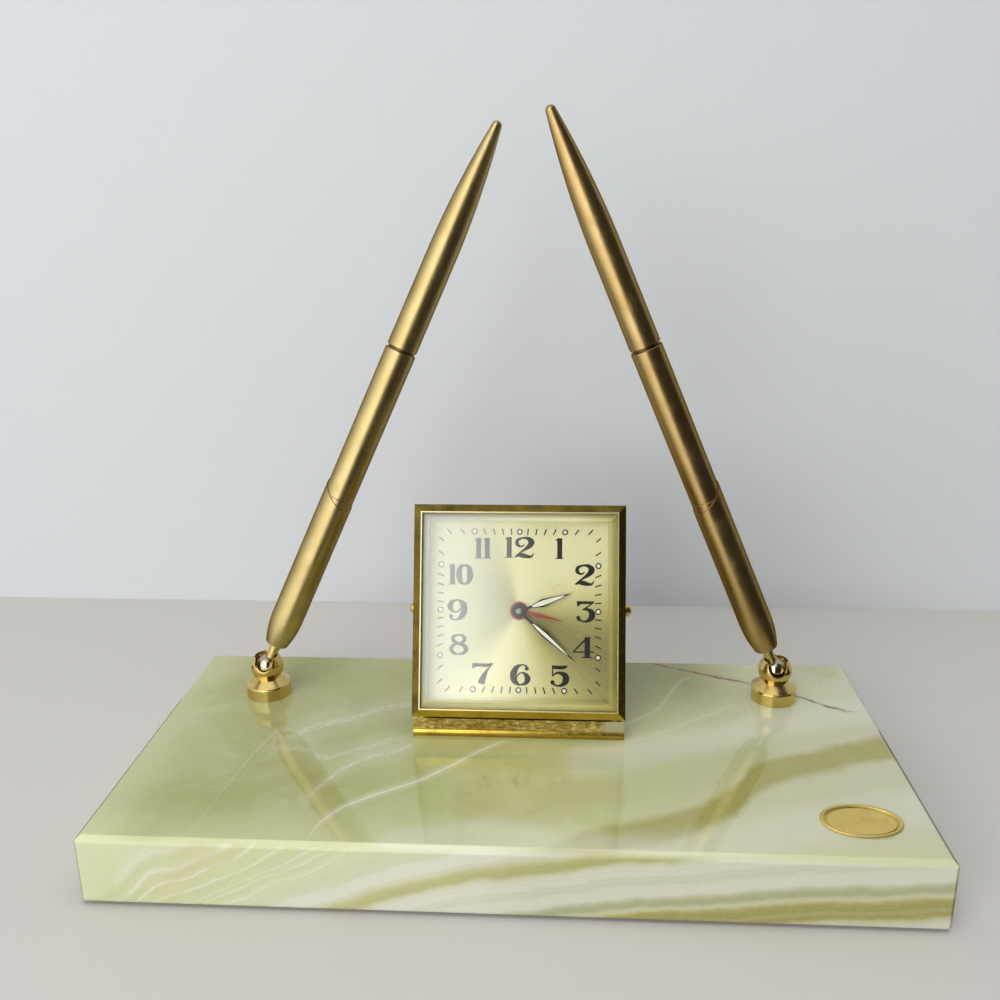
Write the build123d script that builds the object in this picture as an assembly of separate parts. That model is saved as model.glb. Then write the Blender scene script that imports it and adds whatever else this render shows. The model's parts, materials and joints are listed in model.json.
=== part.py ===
from build123d import *
import math
import os

# Desk set: an onyx slab that carries two pens in ball swivels and a tilting wind-up alarm clock.
# Frame in millimetres: X to the right, Y to the back, Z up, origin under the middle of the slab.

# Slab, felt and label
slab_width = 203.0
slab_depth = 97.8
slab_height = 17.5
slab_top_chamfer = 1.4
slab_corner_chamfer = 0.8
felt_thickness = 1.0
felt_inset = 4.0
label_length = 19.1
label_width = 12.8
label_thickness = 0.25
label_rim_width = 0.6
label_rim_height = 0.12
label_right_gap = 17.8
label_front_gap = 14.6
label_turn = -2.0

# Screws, washers and nuts of the base
screw_diameter = 3.0
screw_head_diameter = 5.5
screw_head_height = 2.0
screw_hole_clearance = 0.2
washer_diameter = 7.0
washer_thickness = 0.5
counterbore_diameter = 8.4
counterbore_depth = 5.0
nut_across_flats = 5.5
nut_height = 2.0
screw_end_gap = 0.2

# Swivel sockets
swivel_side_gap = 26.4
left_swivel_back_gap = 25.5
right_swivel_back_gap = 22.7
flange_diameter = 12.9
band_height = 3.7
band_groove = 0.25
neck_diameter = 7.4
head_diameter = 9.6
ball_centre_height = 9.0
ball_diameter = 6.6
ball_clearance = 0.05
cavity_diameter = 7.6
cavity_drop = 0.7
mouth_diameter = 6.0
mouth_rim_height = 1.6
mouth_flare_diameter = 7.8
slot_width = 5.2
slot_floor_drop = 0.4
socket_thread_depth = 2.4
seat_bore_diameter = 4.6
seat_bore_floor = 3.0

# Ball stems and pen holders, measured along the pen from the ball centre
stem_diameter = 3.0
collar_start = 6.9
collar_diameter = 4.4
holder_start = 7.7
holder_floor = 13.9
holder_end = 57.0
holder_diameter = 9.4
holder_bore_diameter = 9.0
holder_foot_diameter = 6.6
holder_taper_length = 9.0
holder_shoulder_share = 0.75
holder_well_diameter = 1.8
holder_bore_taper_length = 6.0
stem_thread_diameter = 2.5
stem_thread_length = 2.8
mouth_slant = 35.0
mouth_low_side = 60.0
left_lean = 24.5
left_back_lean = 7.0
right_lean = 23.2
right_back_lean = 1.0

# Pens, measured from the nose tip
pen_seat_gap = 0.1
pen_diameter = 8.9
nose_length = 42.5
nose_taper_length = 26.0
nose_tip_diameter = 2.2
nose_orifice_diameter = 1.5
nose_orifice_length = 0.8
nose_bore_diameter = 3.0
nose_spigot_diameter = 6.6
nose_spigot_length = 6.0
seam_groove = 0.12
barrel_length = 45.5
ring_gap = 0.8
ring_diameter = 7.8
pen_bore_diameter = 6.8
ring_sleeve_clearance = 0.05
ring_sleeve_reach = 10.0
upper_length = 66.2
upper_diameter = 8.7
upper_straight_length = 26.0
upper_shoulder_diameter = 8.5
upper_tip_diameter = 2.8
upper_bore_length = 34.0
refill_diameter = 2.4
refill_point_diameter = 1.1
refill_point_length = 3.8
refill_point_gap = 1.0
refill_end_gap = 0.2

# Clock place and tilt
clock_offset = 1.0
clock_tilt = 19.6
pivot_floor_gap = 0.6

# Yoke, with its reaches measured from the pivot axis
yoke_front_gap = 49.1
yoke_front_reach = 17.4
yoke_back_reach = 17.0
yoke_side_gap = 0.9
yoke_thickness = 1.1
lip_swing_gap = 0.3
bead_diameter = 2.3
bead_proud = 0.4
arm_radius = 4.4
arm_foot_reach = 10.0
yoke_screw_spacing = 32.0
yoke_screw_back = 12.6
pivot_screw_diameter = 2.0
pivot_head_diameter = 3.4
pivot_head_height = 2.4
pivot_boss_length = 1.6
pivot_clearance = 0.05
pivot_washer_diameter = 7.0

# Bezel, lens and dial; fronts are measured ahead of the pivot axis
bezel_side_lap = 2.2
bezel_end_lap = 3.6
bezel_front = 10.0
bezel_depth = 5.0
bezel_wall = 1.5
bezel_crest_width = 0.3
bezel_slope_drop = 1.2
bezel_bar_width = 2.3
lens_shoulder = 8.8
bezel_lip_back = 8.2
lens_front = 11.0
lens_border = 2.0
lens_thickness = 1.1
lens_flange_clearance = 0.1
dial_front = 7.0
dial_thickness = 0.4
dial_hole_diameter = 4.2
dial_foot_diameter = 1.2
dial_foot_inset = 3.0

# Case and back cover; backs are measured behind the pivot axis
case_width = 53.8
case_height = 51.0
case_corner_radius = 2.0
case_wall = 0.8
case_flange_thickness = 1.0
case_back = 12.0
case_boss_diameter = 5.2
cover_thickness = 1.0
cover_rim_depth = 1.2
cover_rim_clearance = 0.1
cover_hole_clearance = 0.3
cover_screw_diameter = 1.8
cover_screw_head_diameter = 3.6
cover_screw_head_height = 1.0
cover_screw_depth = 5.0
cover_screw_slot_width = 0.7

# Movement plates and pillars
plate_side_gap = 2.8
plate_end_gap = 0.3
plate_thickness = 1.0
front_plate_front = 2.6
plate_gap = 10.0
pillar_diameter = 3.2
pillar_end_diameter = 2.6
pillar_side_inset = 2.5
pillar_end_inset = 2.7
running_clearance = 0.05

# Teeth shared by all wheels, as shares of the module and of the tooth pitch
tooth_tip_height_share = 0.8
tooth_root_depth_share = 1.2
tooth_root_half_share = 0.25
tooth_tip_half_share = 0.10

# Motion work behind the dial
cannon_teeth = 12
minute_wheel_teeth = 36
motion_module = 0.40
minute_pinion_teeth = 12
hour_wheel_teeth = 48
alarm_pinion_teeth = 12
alarm_wheel_teeth = 48
minute_wheel_angle = -60.0
alarm_set_angle = 150.0
wheel_thickness = 0.5
pinion_extra = 0.2
centre_arbor_diameter = 1.2
cannon_tube_diameter = 2.0
minute_seat_diameter = 1.5
hour_tube_wall = 0.4
alarm_tube_wall = 0.4
minute_stud_diameter = 1.0
alarm_arbor_diameter = 1.4
alarm_wheel_front = 6.3
hour_wheel_front = 5.2
minute_wheel_front = 4.0

# Hands, with heights above the dial
hand_thickness = 0.25
alarm_hand_height = 0.45
hour_hand_height = 1.05
minute_hand_height = 1.75
arbor_tip_height = 2.3
hour_hand_length = 15.4
minute_hand_length = 20.7
alarm_hand_length = 12.9
hour_hand_angle = 70.8
minute_hand_angle = 131.2
alarm_hand_angle = 103.0
hour_hand_width = 2.2
minute_hand_width = 1.8
alarm_hand_width = 0.9
hand_stem_width = 0.7
alarm_hub_diameter = 5.0
hour_hub_diameter = 4.0
minute_hub_diameter = 3.4
hand_widest_share = 0.45
hand_shoulder_share = 0.24

# Going train between the plates; layers are measured back from the front plate
great_teeth = 60
centre_pinion_teeth = 10
great_module = 0.35
centre_teeth = 60
third_pinion_teeth = 8
centre_module = 0.27
third_teeth = 60
fourth_pinion_teeth = 8
third_module = 0.25
fourth_teeth = 60
escape_pinion_teeth = 8
fourth_module = 0.20
escape_teeth = 15
escape_diameter = 6.8
escape_tooth_depth = 1.3
barrel_angle = 215.0
third_angle = 60.0
fourth_angle = 165.0
escape_angle = 120.0
pallet_angle = 204.0
train_arbor_diameter = 0.9
centre_layer = 0.7
great_layer = 3.2
third_layer = 5.8
fourth_layer = 7.4
escape_layer = 5.2
balance_layer = 3.4
pinion_length = 1.2
great_thickness = 0.8
barrel_diameter = 18.6
barrel_depth = 5.4
barrel_wall = 0.5
barrel_arbor_diameter = 2.6
mainspring_clearance = 0.3
alarm_barrel_x = 10.4
alarm_barrel_z = -8.6
pallet_distance = 5.0
pallet_arm_forward = 1.9
pallet_arm_side = 2.6
pallet_pin_diameter = 0.4
pallet_bar_width = 1.2
pallet_fork_length = 4.2
pallet_thickness = 0.4
balance_distance = 5.6
balance_diameter = 9.2
balance_rim_width = 0.8
balance_thickness = 0.8
balance_spoke_width = 0.7
balance_roller_diameter = 1.8

# Pieces on the back of the clock
key_shank_length = 3.0
key_wing_span = 14.0
key_wing_height = 6.0
key_wing_thickness = 1.6
key_hub_diameter = 4.6
key_gap = 0.6
knob_diameter = 7.0
knob_height = 3.2
knob_grooves = 20
knob_groove_diameter = 0.6
alarm_knob_diameter = 6.2
stop_x = 12.0
stop_edge_gap = 7.7
stop_stem_diameter = 1.8
stop_head_diameter = 4.8
stop_head_height = 1.8
stop_stem_reach = 6.5
stop_gap = 0.3
regulator_radius = 4.0
regulator_pin_diameter = 1.2
regulator_pin_proud = 1.2
regulator_ring_width = 1.2
regulator_ring_thickness = 0.4
regulator_boss_diameter = 3.0
regulator_boss_height = 0.8
regulator_half_sweep = 25.0
regulator_slot_clearance = 0.2

# Every cut runs past its faces by this much
overrun = 1.0

# Heights, sizes and places that follow from the sizes above
slab_top = felt_thickness + slab_height
swivel_x = slab_width / 2 - swivel_side_gap
bezel_size = (case_width + 2 * bezel_side_lap, case_height + 2 * bezel_end_lap)
bezel_edge = bezel_front - bezel_slope_drop
yoke_width = case_width + 2 * (yoke_side_gap + yoke_thickness)
pivot_height = yoke_thickness + pivot_floor_gap + bezel_size[1] / 2
pivot_screw_reach = case_width / 2 - pivot_boss_length
pivot_y = -slab_depth / 2 + yoke_front_gap + yoke_front_reach
pivot_z = slab_top + pivot_height
clock_frame = Pos(clock_offset, pivot_y, pivot_z) * Rot(-clock_tilt, 0, 0)

parts = {}


# Shared shapes
def block(x_low, x_high, y_low, y_high, z_low, z_high):
    corner = (Align.MIN, Align.MIN, Align.MIN)
    return Pos(x_low, y_low, z_low) * Box(x_high - x_low, y_high - y_low, z_high - z_low, align=corner)


def post(x, y, z_low, z_high, diameter):
    foot = (Align.CENTER, Align.CENTER, Align.MIN)
    return Pos(x, y, z_low) * Cylinder(diameter / 2, z_high - z_low, align=foot)


def rod(x, z, front, back, diameter):
    """A rod along the clock's own depth, drawn at x and z on its face."""
    foot = (Align.CENTER, Align.CENTER, Align.MIN)
    return Pos(x, front, z) * Rot(-90, 0, 0) * Cylinder(diameter / 2, back - front, align=foot)


def face_plane(x, z, front):
    """A drawing plane on the clock's face, X to the right and Z up."""
    return Plane(origin=(x, front, z), x_dir=(1, 0, 0), z_dir=(0, -1, 0))


def turned(outline):
    """A solid of revolution about Z from a closed outline of (radius, height) points."""
    wire = Polyline(*[(radius, 0, height) for radius, height in outline], close=True)
    return revolve(make_face(wire), axis=Axis.Z)


def direction(angle):
    return (math.cos(math.radians(angle)), math.sin(math.radians(angle)))


def bearing(start, end):
    return math.degrees(math.atan2(end[1] - start[1], end[0] - start[0]))


def toothed(place, front, thickness, teeth, module, tooth_at):
    """A spur wheel with one tooth centred on the bearing tooth_at."""
    pitch = 360 / teeth
    root = module * (teeth / 2 - tooth_root_depth_share)
    tip = module * (teeth / 2 + tooth_tip_height_share)
    corners = (
        (root, -tooth_root_half_share),
        (tip, -tooth_tip_half_share),
        (tip, tooth_tip_half_share),
        (root, tooth_root_half_share),
    )
    points = []
    for tooth in range(teeth):
        for radius, share in corners:
            ux, uz = direction(tooth_at + (tooth + share) * pitch)
            points.append((radius * ux, radius * uz))
    outline = make_face(Polyline(*points, close=True))
    return extrude(face_plane(place[0], place[1], front) * outline, amount=-thickness)


def gap_at(angle, teeth):
    """The bearing of a tooth that leaves a gap centred on the given bearing."""
    return angle + 180 / teeth


def rounded_plate(width, height, radius, front, thickness):
    outline = RectangleRounded(width, height, radius)
    return extrude(face_plane(0, 0, front) * outline, amount=-thickness)


def square_plate(size, front, back):
    width, height = size
    return block(-width / 2, width / 2, front, back, -height / 2, height / 2)


def frustum(front_size, front, back_size, back):
    near = face_plane(0, 0, front) * Rectangle(*front_size)
    far = face_plane(0, 0, back) * Rectangle(*back_size)
    return loft([near, far], ruled=True)


def inset(size, border):
    return (size[0] - 2 * border, size[1] - 2 * border)


# Slab, felt and label
def swivel_place(side):
    gap = left_swivel_back_gap if side == "left" else right_swivel_back_gap
    x = -swivel_x if side == "left" else swivel_x
    return (x, slab_depth / 2 - gap)


swivel_places = [swivel_place(side) for side in ("left", "right")]
yoke_screw_places = [
    (clock_offset + sign * yoke_screw_spacing / 2, pivot_y + yoke_screw_back) for sign in (-1, 1)
]
screw_hole_diameter = screw_diameter + 2 * screw_hole_clearance
washer_low = felt_thickness + counterbore_depth - washer_thickness


def cut_corners(half_width, low, high, cut):
    """A rectangle with its two upper corners cut off."""
    return make_face(Polyline(
        (-half_width, low), (half_width, low), (half_width, high - cut), (half_width - cut, high),
        (cut - half_width, high), (-half_width, high - cut), close=True,
    ))


def onyx_slab():
    half_width = slab_width / 2
    half_depth = slab_depth / 2
    along_y = Plane(origin=(0, half_depth, 0), x_dir=(1, 0, 0), z_dir=(0, -1, 0))
    along_x = Plane(origin=(-half_width, 0, 0), x_dir=(0, 1, 0), z_dir=(1, 0, 0))
    end_outline = along_x * cut_corners(half_depth, felt_thickness, slab_top, slab_top_chamfer)
    front_outline = along_y * cut_corners(half_width, felt_thickness, slab_top, slab_top_chamfer)
    slab = extrude(end_outline, amount=slab_width) & extrude(front_outline, amount=slab_depth)
    slab = chamfer(slab.edges().filter_by(Axis.Z), slab_corner_chamfer)
    for x, y in swivel_places + yoke_screw_places:
        slab -= post(x, y, felt_thickness - overrun, slab_top + overrun, screw_hole_diameter)
        slab -= post(x, y, felt_thickness - overrun, felt_thickness + counterbore_depth, counterbore_diameter)
    return slab


def felt_pad():
    half_width = slab_width / 2 - felt_inset
    half_depth = slab_depth / 2 - felt_inset
    return block(-half_width, half_width, -half_depth, half_depth, 0, felt_thickness)


def oval_label():
    outline = Ellipse(label_length / 2, label_width / 2)
    inner = Ellipse(label_length / 2 - label_rim_width, label_width / 2 - label_rim_width)
    plate = extrude(outline, amount=label_thickness)
    rim = extrude(outline - inner, amount=label_thickness + label_rim_height)
    x = slab_width / 2 - label_right_gap
    y = -slab_depth / 2 + label_front_gap
    return Pos(x, y, slab_top) * Rot(0, 0, label_turn) * (plate + rim)


def base_screw(x, y, top):
    head = post(x, y, washer_low - screw_head_height, washer_low, screw_head_diameter)
    drive_low = washer_low - screw_head_height - overrun
    drive = post(x, y, drive_low, washer_low - screw_head_height / 2, screw_diameter / 2)
    return head - drive + post(x, y, washer_low, top, screw_diameter)


def base_washer(x, y):
    ring = post(x, y, washer_low, washer_low + washer_thickness, washer_diameter)
    return ring - post(x, y, washer_low - overrun, washer_low + overrun, screw_hole_diameter)


def yoke_nut(x, y):
    low = slab_top + yoke_thickness
    outline = RegularPolygon(nut_across_flats / 2, 6, major_radius=False)
    nut = Pos(x, y, low) * extrude(outline, amount=nut_height)
    return nut - post(x, y, low - overrun, low + nut_height + overrun, screw_diameter)


parts["onyx_slab"] = onyx_slab()
parts["felt_pad"] = felt_pad()
parts["oval_label"] = oval_label()
socket_screw_top = slab_top + socket_thread_depth - screw_end_gap
nut_screw_top = slab_top + yoke_thickness + nut_height - screw_end_gap
parts["swivel_screws"] = [base_screw(x, y, socket_screw_top) for x, y in swivel_places]
parts["yoke_screws"] = [base_screw(x, y, nut_screw_top) for x, y in yoke_screw_places]
parts["base_washers"] = [base_washer(x, y) for x, y in swivel_places + yoke_screw_places]
parts["yoke_nuts"] = [yoke_nut(x, y) for x, y in yoke_screw_places]


# Swivel sockets and ball seats, drawn about their own foot
def socket():
    flange = flange_diameter / 2
    neck = neck_diameter / 2
    head = head_diameter / 2
    neck_height = ball_centre_height - math.sqrt(head * head - neck * neck)
    body = turned([
        (0, 0), (flange, 0), (flange, band_height - band_groove), (flange - band_groove, band_height),
        (flange, band_height + band_groove), (neck, neck_height), (0, neck_height),
    ])
    body += Pos(0, 0, ball_centre_height) * Sphere(head)
    body -= Pos(0, 0, ball_centre_height - cavity_drop) * Sphere(cavity_diameter / 2)
    top = ball_centre_height + head + overrun
    mouth_rim = ball_centre_height + mouth_rim_height
    body -= turned([
        (0, ball_centre_height), (mouth_diameter / 2, ball_centre_height), (mouth_diameter / 2, mouth_rim),
        (mouth_flare_diameter / 2, top), (0, top),
    ])
    slot_centre = ball_centre_height - slot_floor_drop + slot_width / 2
    body -= block(-slot_width / 2, slot_width / 2, -head - overrun, 0, slot_centre, top)
    body -= Pos(0, 0, slot_centre) * Rot(90, 0, 0) * post(0, 0, 0, head + overrun, slot_width)
    body -= post(0, 0, seat_bore_floor, ball_centre_height, seat_bore_diameter)
    return body - post(0, 0, -overrun, socket_thread_depth, screw_diameter)


def ball_seat():
    cup = post(0, 0, seat_bore_floor, ball_centre_height, seat_bore_diameter - 2 * ball_clearance)
    cup -= Pos(0, 0, ball_centre_height) * Sphere(ball_diameter / 2 + ball_clearance)
    return cup.solids().sort_by(Axis.Z)[0]


# Ball stem, holder and pen, drawn along +Z from the ball centre
pen_start = holder_floor + pen_seat_gap
barrel_start = pen_start + nose_length
barrel_end = barrel_start + barrel_length
upper_start = barrel_end + ring_gap
pen_end = upper_start + upper_length


def ball_stem():
    stem = Sphere(ball_diameter / 2)
    stem += post(0, 0, 0, collar_start, stem_diameter)
    stem += post(0, 0, collar_start, holder_start, collar_diameter)
    return stem + post(0, 0, holder_start, holder_start + stem_thread_length, stem_thread_diameter)


def pen_holder():
    outer = holder_diameter / 2
    foot = holder_foot_diameter / 2
    bore = holder_bore_diameter / 2
    taper_end = holder_start + holder_taper_length
    rise = outer * math.tan(math.radians(mouth_slant))
    top = holder_end + rise
    profile = Polyline((0, 0, holder_start), (foot, 0, holder_start))
    shoulder = ThreePointArc(
        (foot, 0, holder_start),
        (foot + holder_shoulder_share * (outer - foot), 0, (holder_start + taper_end) / 2),
        (outer, 0, taper_end),
    )
    rest = Polyline((outer, 0, taper_end), (outer, 0, top), (0, 0, top), (0, 0, holder_start))
    body = revolve(make_face([profile, shoulder, rest]), axis=Axis.Z)
    well = holder_well_diameter / 2
    seat = nose_tip_diameter / 2 + pen_seat_gap
    thread_end = holder_start + stem_thread_length
    body -= turned([
        (0, thread_end), (well, thread_end), (well, holder_floor), (seat, holder_floor),
        (bore, holder_floor + holder_bore_taper_length), (bore, top + overrun), (0, top + overrun),
    ])
    body -= post(0, 0, holder_start - overrun, thread_end, stem_thread_diameter)
    slant_x, slant_z = math.sin(math.radians(mouth_slant)), math.cos(math.radians(mouth_slant))
    mouth = Plane(origin=(0, 0, holder_end), z_dir=(slant_x, 0, slant_z))
    return split(body, bisect_by=mouth, keep=Keep.BOTTOM)


def pen_nose():
    outer = pen_diameter / 2
    tip = nose_tip_diameter / 2
    orifice = nose_orifice_diameter / 2
    bore = nose_bore_diameter / 2
    spigot = nose_spigot_diameter / 2
    taper_end = pen_start + nose_taper_length
    inner = Polyline(
        (outer, 0, taper_end), (outer, 0, barrel_start - seam_groove), (outer - seam_groove, 0, barrel_start),
        (spigot, 0, barrel_start), (spigot, 0, barrel_start + nose_spigot_length),
        (bore, 0, barrel_start + nose_spigot_length), (bore, 0, pen_start + nose_orifice_length),
        (orifice, 0, pen_start + nose_orifice_length), (orifice, 0, pen_start), (tip, 0, pen_start),
    )
    cone = TangentArc((outer, 0, taper_end), (tip, 0, pen_start), tangent=(0, 0, -1))
    return revolve(make_face([inner, cone]), axis=Axis.Z)


def pen_barrel():
    outer = pen_diameter / 2
    bore = pen_bore_diameter / 2
    spigot = nose_spigot_diameter / 2
    spigot_end = barrel_start + nose_spigot_length
    return turned([
        (spigot, barrel_start), (outer - seam_groove, barrel_start), (outer, barrel_start + seam_groove),
        (outer, barrel_end - seam_groove), (outer - seam_groove, barrel_end), (bore, barrel_end),
        (bore, spigot_end), (spigot, spigot_end),
    ])


def pen_ring():
    ring = ring_diameter / 2
    sleeve = pen_bore_diameter / 2
    loose = sleeve - ring_sleeve_clearance
    bore = nose_bore_diameter / 2
    low_end = barrel_end - ring_sleeve_reach
    return turned([
        (bore, low_end), (sleeve, low_end), (sleeve, barrel_end),
        (ring, barrel_end), (ring, upper_start - ring_sleeve_clearance),
        (loose, upper_start - ring_sleeve_clearance), (loose, upper_start + ring_sleeve_reach),
        (bore, upper_start + ring_sleeve_reach),
    ])


def pen_upper():
    outer = upper_diameter / 2
    shoulder = upper_shoulder_diameter / 2
    tip = upper_tip_diameter / 2
    bore = pen_bore_diameter / 2
    shoulder_at = upper_start + upper_straight_length
    tip_at = pen_end - tip
    bore_end = upper_start + upper_bore_length
    inner = Polyline(
        (0, 0, pen_end), (0, 0, bore_end), (bore, 0, bore_end), (bore, 0, upper_start),
        (outer - seam_groove, 0, upper_start), (outer, 0, upper_start + seam_groove),
        (shoulder, 0, shoulder_at),
    )
    ogive = TangentArc((shoulder, 0, shoulder_at), (tip, 0, tip_at), tangent=(0, 0, 1))
    round_share = math.sqrt(0.5)
    cap = ThreePointArc(
        (tip, 0, tip_at), (tip * round_share, 0, tip_at + tip * round_share), (0, 0, pen_end)
    )
    return revolve(make_face([inner, ogive, cap]), axis=Axis.Z)


def pen_refill():
    tube = refill_diameter / 2
    point = refill_point_diameter / 2
    point_start = pen_start + refill_point_gap
    tube_start = point_start + refill_point_length
    tube_end = upper_start + upper_bore_length - refill_end_gap
    return turned([
        (0, point_start), (point / 2, point_start), (point, point_start + point),
        (point, tube_start - tube + point), (tube, tube_start), (tube, tube_end), (0, tube_end),
    ])


def pen_plane(side):
    """The frame of one pen: origin at the ball centre, Z along the pen, X towards the mouth's low side."""
    x, y = swivel_place(side)
    inward = 1 if side == "left" else -1
    lean = math.radians(left_lean if side == "left" else right_lean)
    back = math.radians(left_back_lean if side == "left" else right_back_lean)
    along = Vector(inward * math.sin(lean), math.cos(lean) * math.sin(back), math.cos(lean) * math.cos(back))
    low_side = math.radians(mouth_low_side)
    low = Vector(inward * math.sin(low_side), -math.cos(low_side), 0)
    low = (low - along * low.dot(along)).normalized()
    return Plane(origin=(x, y, slab_top + ball_centre_height), x_dir=low, z_dir=along)


along_pen = {
    "ball_stem": ball_stem, "pen_holder": pen_holder, "pen_nose": pen_nose, "pen_barrel": pen_barrel,
    "pen_ring": pen_ring, "pen_upper": pen_upper, "pen_refill": pen_refill,
}
for side in ("left", "right"):
    x, y = swivel_place(side)
    parts[side + "_socket"] = Pos(x, y, slab_top) * socket()
    parts[side + "_ball_seat"] = Pos(x, y, slab_top) * ball_seat()
    for name, make in along_pen.items():
        parts[side + "_" + name] = pen_plane(side).location * make()


# Yoke, drawn from the pivot axis and not tilted
def lip_top(y):
    """The front lip's height at y, just outside the circle that the bezel's lower edge swings on."""
    reach = math.hypot(bezel_edge, bezel_size[1] / 2) + lip_swing_gap
    return -math.sqrt(reach ** 2 - y ** 2)


def clock_yoke():
    half = yoke_width / 2
    low = -pivot_height
    floor = low + yoke_thickness
    yoke = block(-half, half, -yoke_front_reach, yoke_back_reach, low, floor)
    side = Plane(origin=(-half, 0, 0), x_dir=(0, 1, 0), z_dir=(1, 0, 0))
    lip_front_y = -yoke_front_reach
    lip_back_y = -yoke_front_reach + yoke_thickness
    lip = make_face(Polyline(
        (lip_front_y, low), (lip_back_y, low), (lip_back_y, lip_top(lip_back_y)),
        (lip_front_y, lip_top(lip_front_y)), close=True,
    ))
    yoke += extrude(side * lip, amount=yoke_width)
    bead_y = -yoke_front_reach + bead_diameter / 2 - bead_proud
    bead_place = Pos(-half, bead_y, low + bead_diameter / 2) * Rot(0, 90, 0)
    yoke += bead_place * post(0, 0, 0, yoke_width, bead_diameter)
    arm = make_face(Polyline(
        (-arm_radius, low), (arm_foot_reach, low), (arm_radius, 0), (-arm_radius, 0), close=True
    ))
    arm = arm + Circle(arm_radius)
    left_arm = extrude(side * arm, amount=yoke_thickness)
    yoke += left_arm
    yoke += Pos(yoke_width - yoke_thickness, 0, 0) * left_arm
    hole = pivot_screw_diameter + 2 * pivot_clearance
    yoke -= Pos(-half - overrun, 0, 0) * Rot(0, 90, 0) * post(0, 0, 0, yoke_width + 2 * overrun, hole)
    for sign in (-1, 1):
        x = sign * yoke_screw_spacing / 2
        yoke -= post(x, yoke_screw_back, low - overrun, floor + overrun, screw_hole_diameter)
    return yoke


def pivot_screw():
    """The right-hand pivot screw, along X, with a domed head outside the arm."""
    outer = yoke_width / 2 + pivot_clearance
    head = pivot_head_diameter / 2
    shank = pivot_screw_diameter / 2
    dome_start = outer + pivot_head_height - head
    dome_end = dome_start + head
    outline = Polyline(
        (0, 0, pivot_screw_reach), (shank, 0, pivot_screw_reach), (shank, 0, outer), (head, 0, outer)
    )
    side = Polyline((head, 0, outer), (head, 0, dome_start))
    round_share = math.sqrt(0.5)
    dome = ThreePointArc(
        (head, 0, dome_start), (head * round_share, 0, dome_start + head * round_share), (0, 0, dome_end)
    )
    close = Polyline((0, 0, dome_end), (0, 0, pivot_screw_reach))
    screw = revolve(make_face([outline, side, dome, close]), axis=Axis.Z)
    return Rot(0, 90, 0) * screw


def pivot_washer():
    outer = yoke_width / 2 - yoke_thickness
    inner = case_width / 2 + pivot_clearance
    ring = post(0, 0, inner, outer, pivot_washer_diameter)
    ring -= post(0, 0, inner - overrun, outer + overrun, pivot_screw_diameter + 2 * pivot_clearance)
    return Rot(0, 90, 0) * ring


yoke_frame = Pos(clock_offset, pivot_y, pivot_z)
parts["clock_yoke"] = yoke_frame * clock_yoke()
parts["pivot_washers"] = [yoke_frame * Rot(0, 0, turn) * pivot_washer() for turn in (0, 180)]


# Bezel, lens, dial, case and back cover, drawn upright about the pivot axis
bezel_inside = inset(bezel_size, bezel_wall)
flange_size = inset(bezel_inside, lens_flange_clearance)
lens_opening = inset(bezel_size, bezel_bar_width)
dial_back = -dial_front + dial_thickness
case_flange_back = dial_back + case_flange_thickness
case_inside = inset((case_width, case_height), case_wall)
plate_width = 2 * (pivot_screw_reach - plate_side_gap)
plate_height = case_inside[1] - 2 * plate_end_gap
front_plate_back = -front_plate_front + plate_thickness
back_plate_front = front_plate_back + plate_gap
back_plate_back = back_plate_front + plate_thickness
cover_back = case_back + cover_thickness
pillar_x = plate_width / 2 - pillar_side_inset
pillar_z = plate_height / 2 - pillar_end_inset
pillar_places = [(sx * pillar_x, sz * pillar_z) for sx in (-1, 1) for sz in (-1, 1)]
dial_foot_x = plate_width / 2 - dial_foot_inset
dial_feet = [(-dial_foot_x, 0), (dial_foot_x, 0)]


def bezel():
    """A frame whose bars slope back from a narrow crest round the lens to the outer edge."""
    crest = inset(lens_opening, -bezel_crest_width)
    frame = frustum(crest, -bezel_front, bezel_size, -bezel_edge)
    frame += square_plate(bezel_size, -bezel_edge, -bezel_front + bezel_depth)
    frame -= square_plate(bezel_inside, -bezel_lip_back, -bezel_front + bezel_depth + overrun)
    return frame - square_plate(lens_opening, -bezel_front - overrun, -bezel_lip_back + overrun)


def lens():
    body = inset(lens_opening, lens_flange_clearance)
    top = inset(body, lens_border)
    glass = square_plate(flange_size, -bezel_lip_back, -dial_front)
    glass += square_plate(body, -lens_shoulder, -bezel_lip_back)
    glass += frustum(top, -lens_front, body, -lens_shoulder)
    hollow = inset(body, lens_thickness)
    hollow_top = inset(top, lens_thickness / 2)
    hollow_shoulder = -lens_shoulder + lens_thickness / 2
    glass -= square_plate(hollow, hollow_shoulder, -dial_front + overrun)
    return glass - frustum(hollow_top, -lens_front + lens_thickness, hollow, hollow_shoulder)


def dial():
    plate = square_plate(flange_size, -dial_front, dial_back)
    plate -= rod(0, 0, -dial_front - overrun, dial_back + overrun, dial_hole_diameter)
    for x, z in dial_feet:
        plate += rod(x, z, dial_back, front_plate_back, dial_foot_diameter)
    return plate


def case():
    shell = rounded_plate(case_width, case_height, case_corner_radius, dial_back, case_back - dial_back)
    shell += square_plate(flange_size, dial_back, case_flange_back)
    inner_radius = case_corner_radius - case_wall
    inner_depth = case_back - dial_back + 2 * overrun
    shell -= rounded_plate(*case_inside, inner_radius, dial_back - overrun, inner_depth)
    boss = post(0, 0, pivot_screw_reach, case_width / 2 - case_wall / 2, case_boss_diameter)
    hole = post(0, 0, pivot_screw_reach - overrun, case_width / 2 + overrun, pivot_screw_diameter)
    for turn in (90, -90):
        shell += Rot(0, turn, 0) * boss
    for turn in (90, -90):
        shell -= Rot(0, turn, 0) * hole
    return shell


parts["pivot_screws"] = [clock_frame * Rot(0, 0, turn) * pivot_screw() for turn in (0, 180)]
parts["bezel"] = clock_frame * bezel()
parts["lens"] = clock_frame * lens()
parts["dial"] = clock_frame * dial()
parts["case"] = clock_frame * case()


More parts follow.
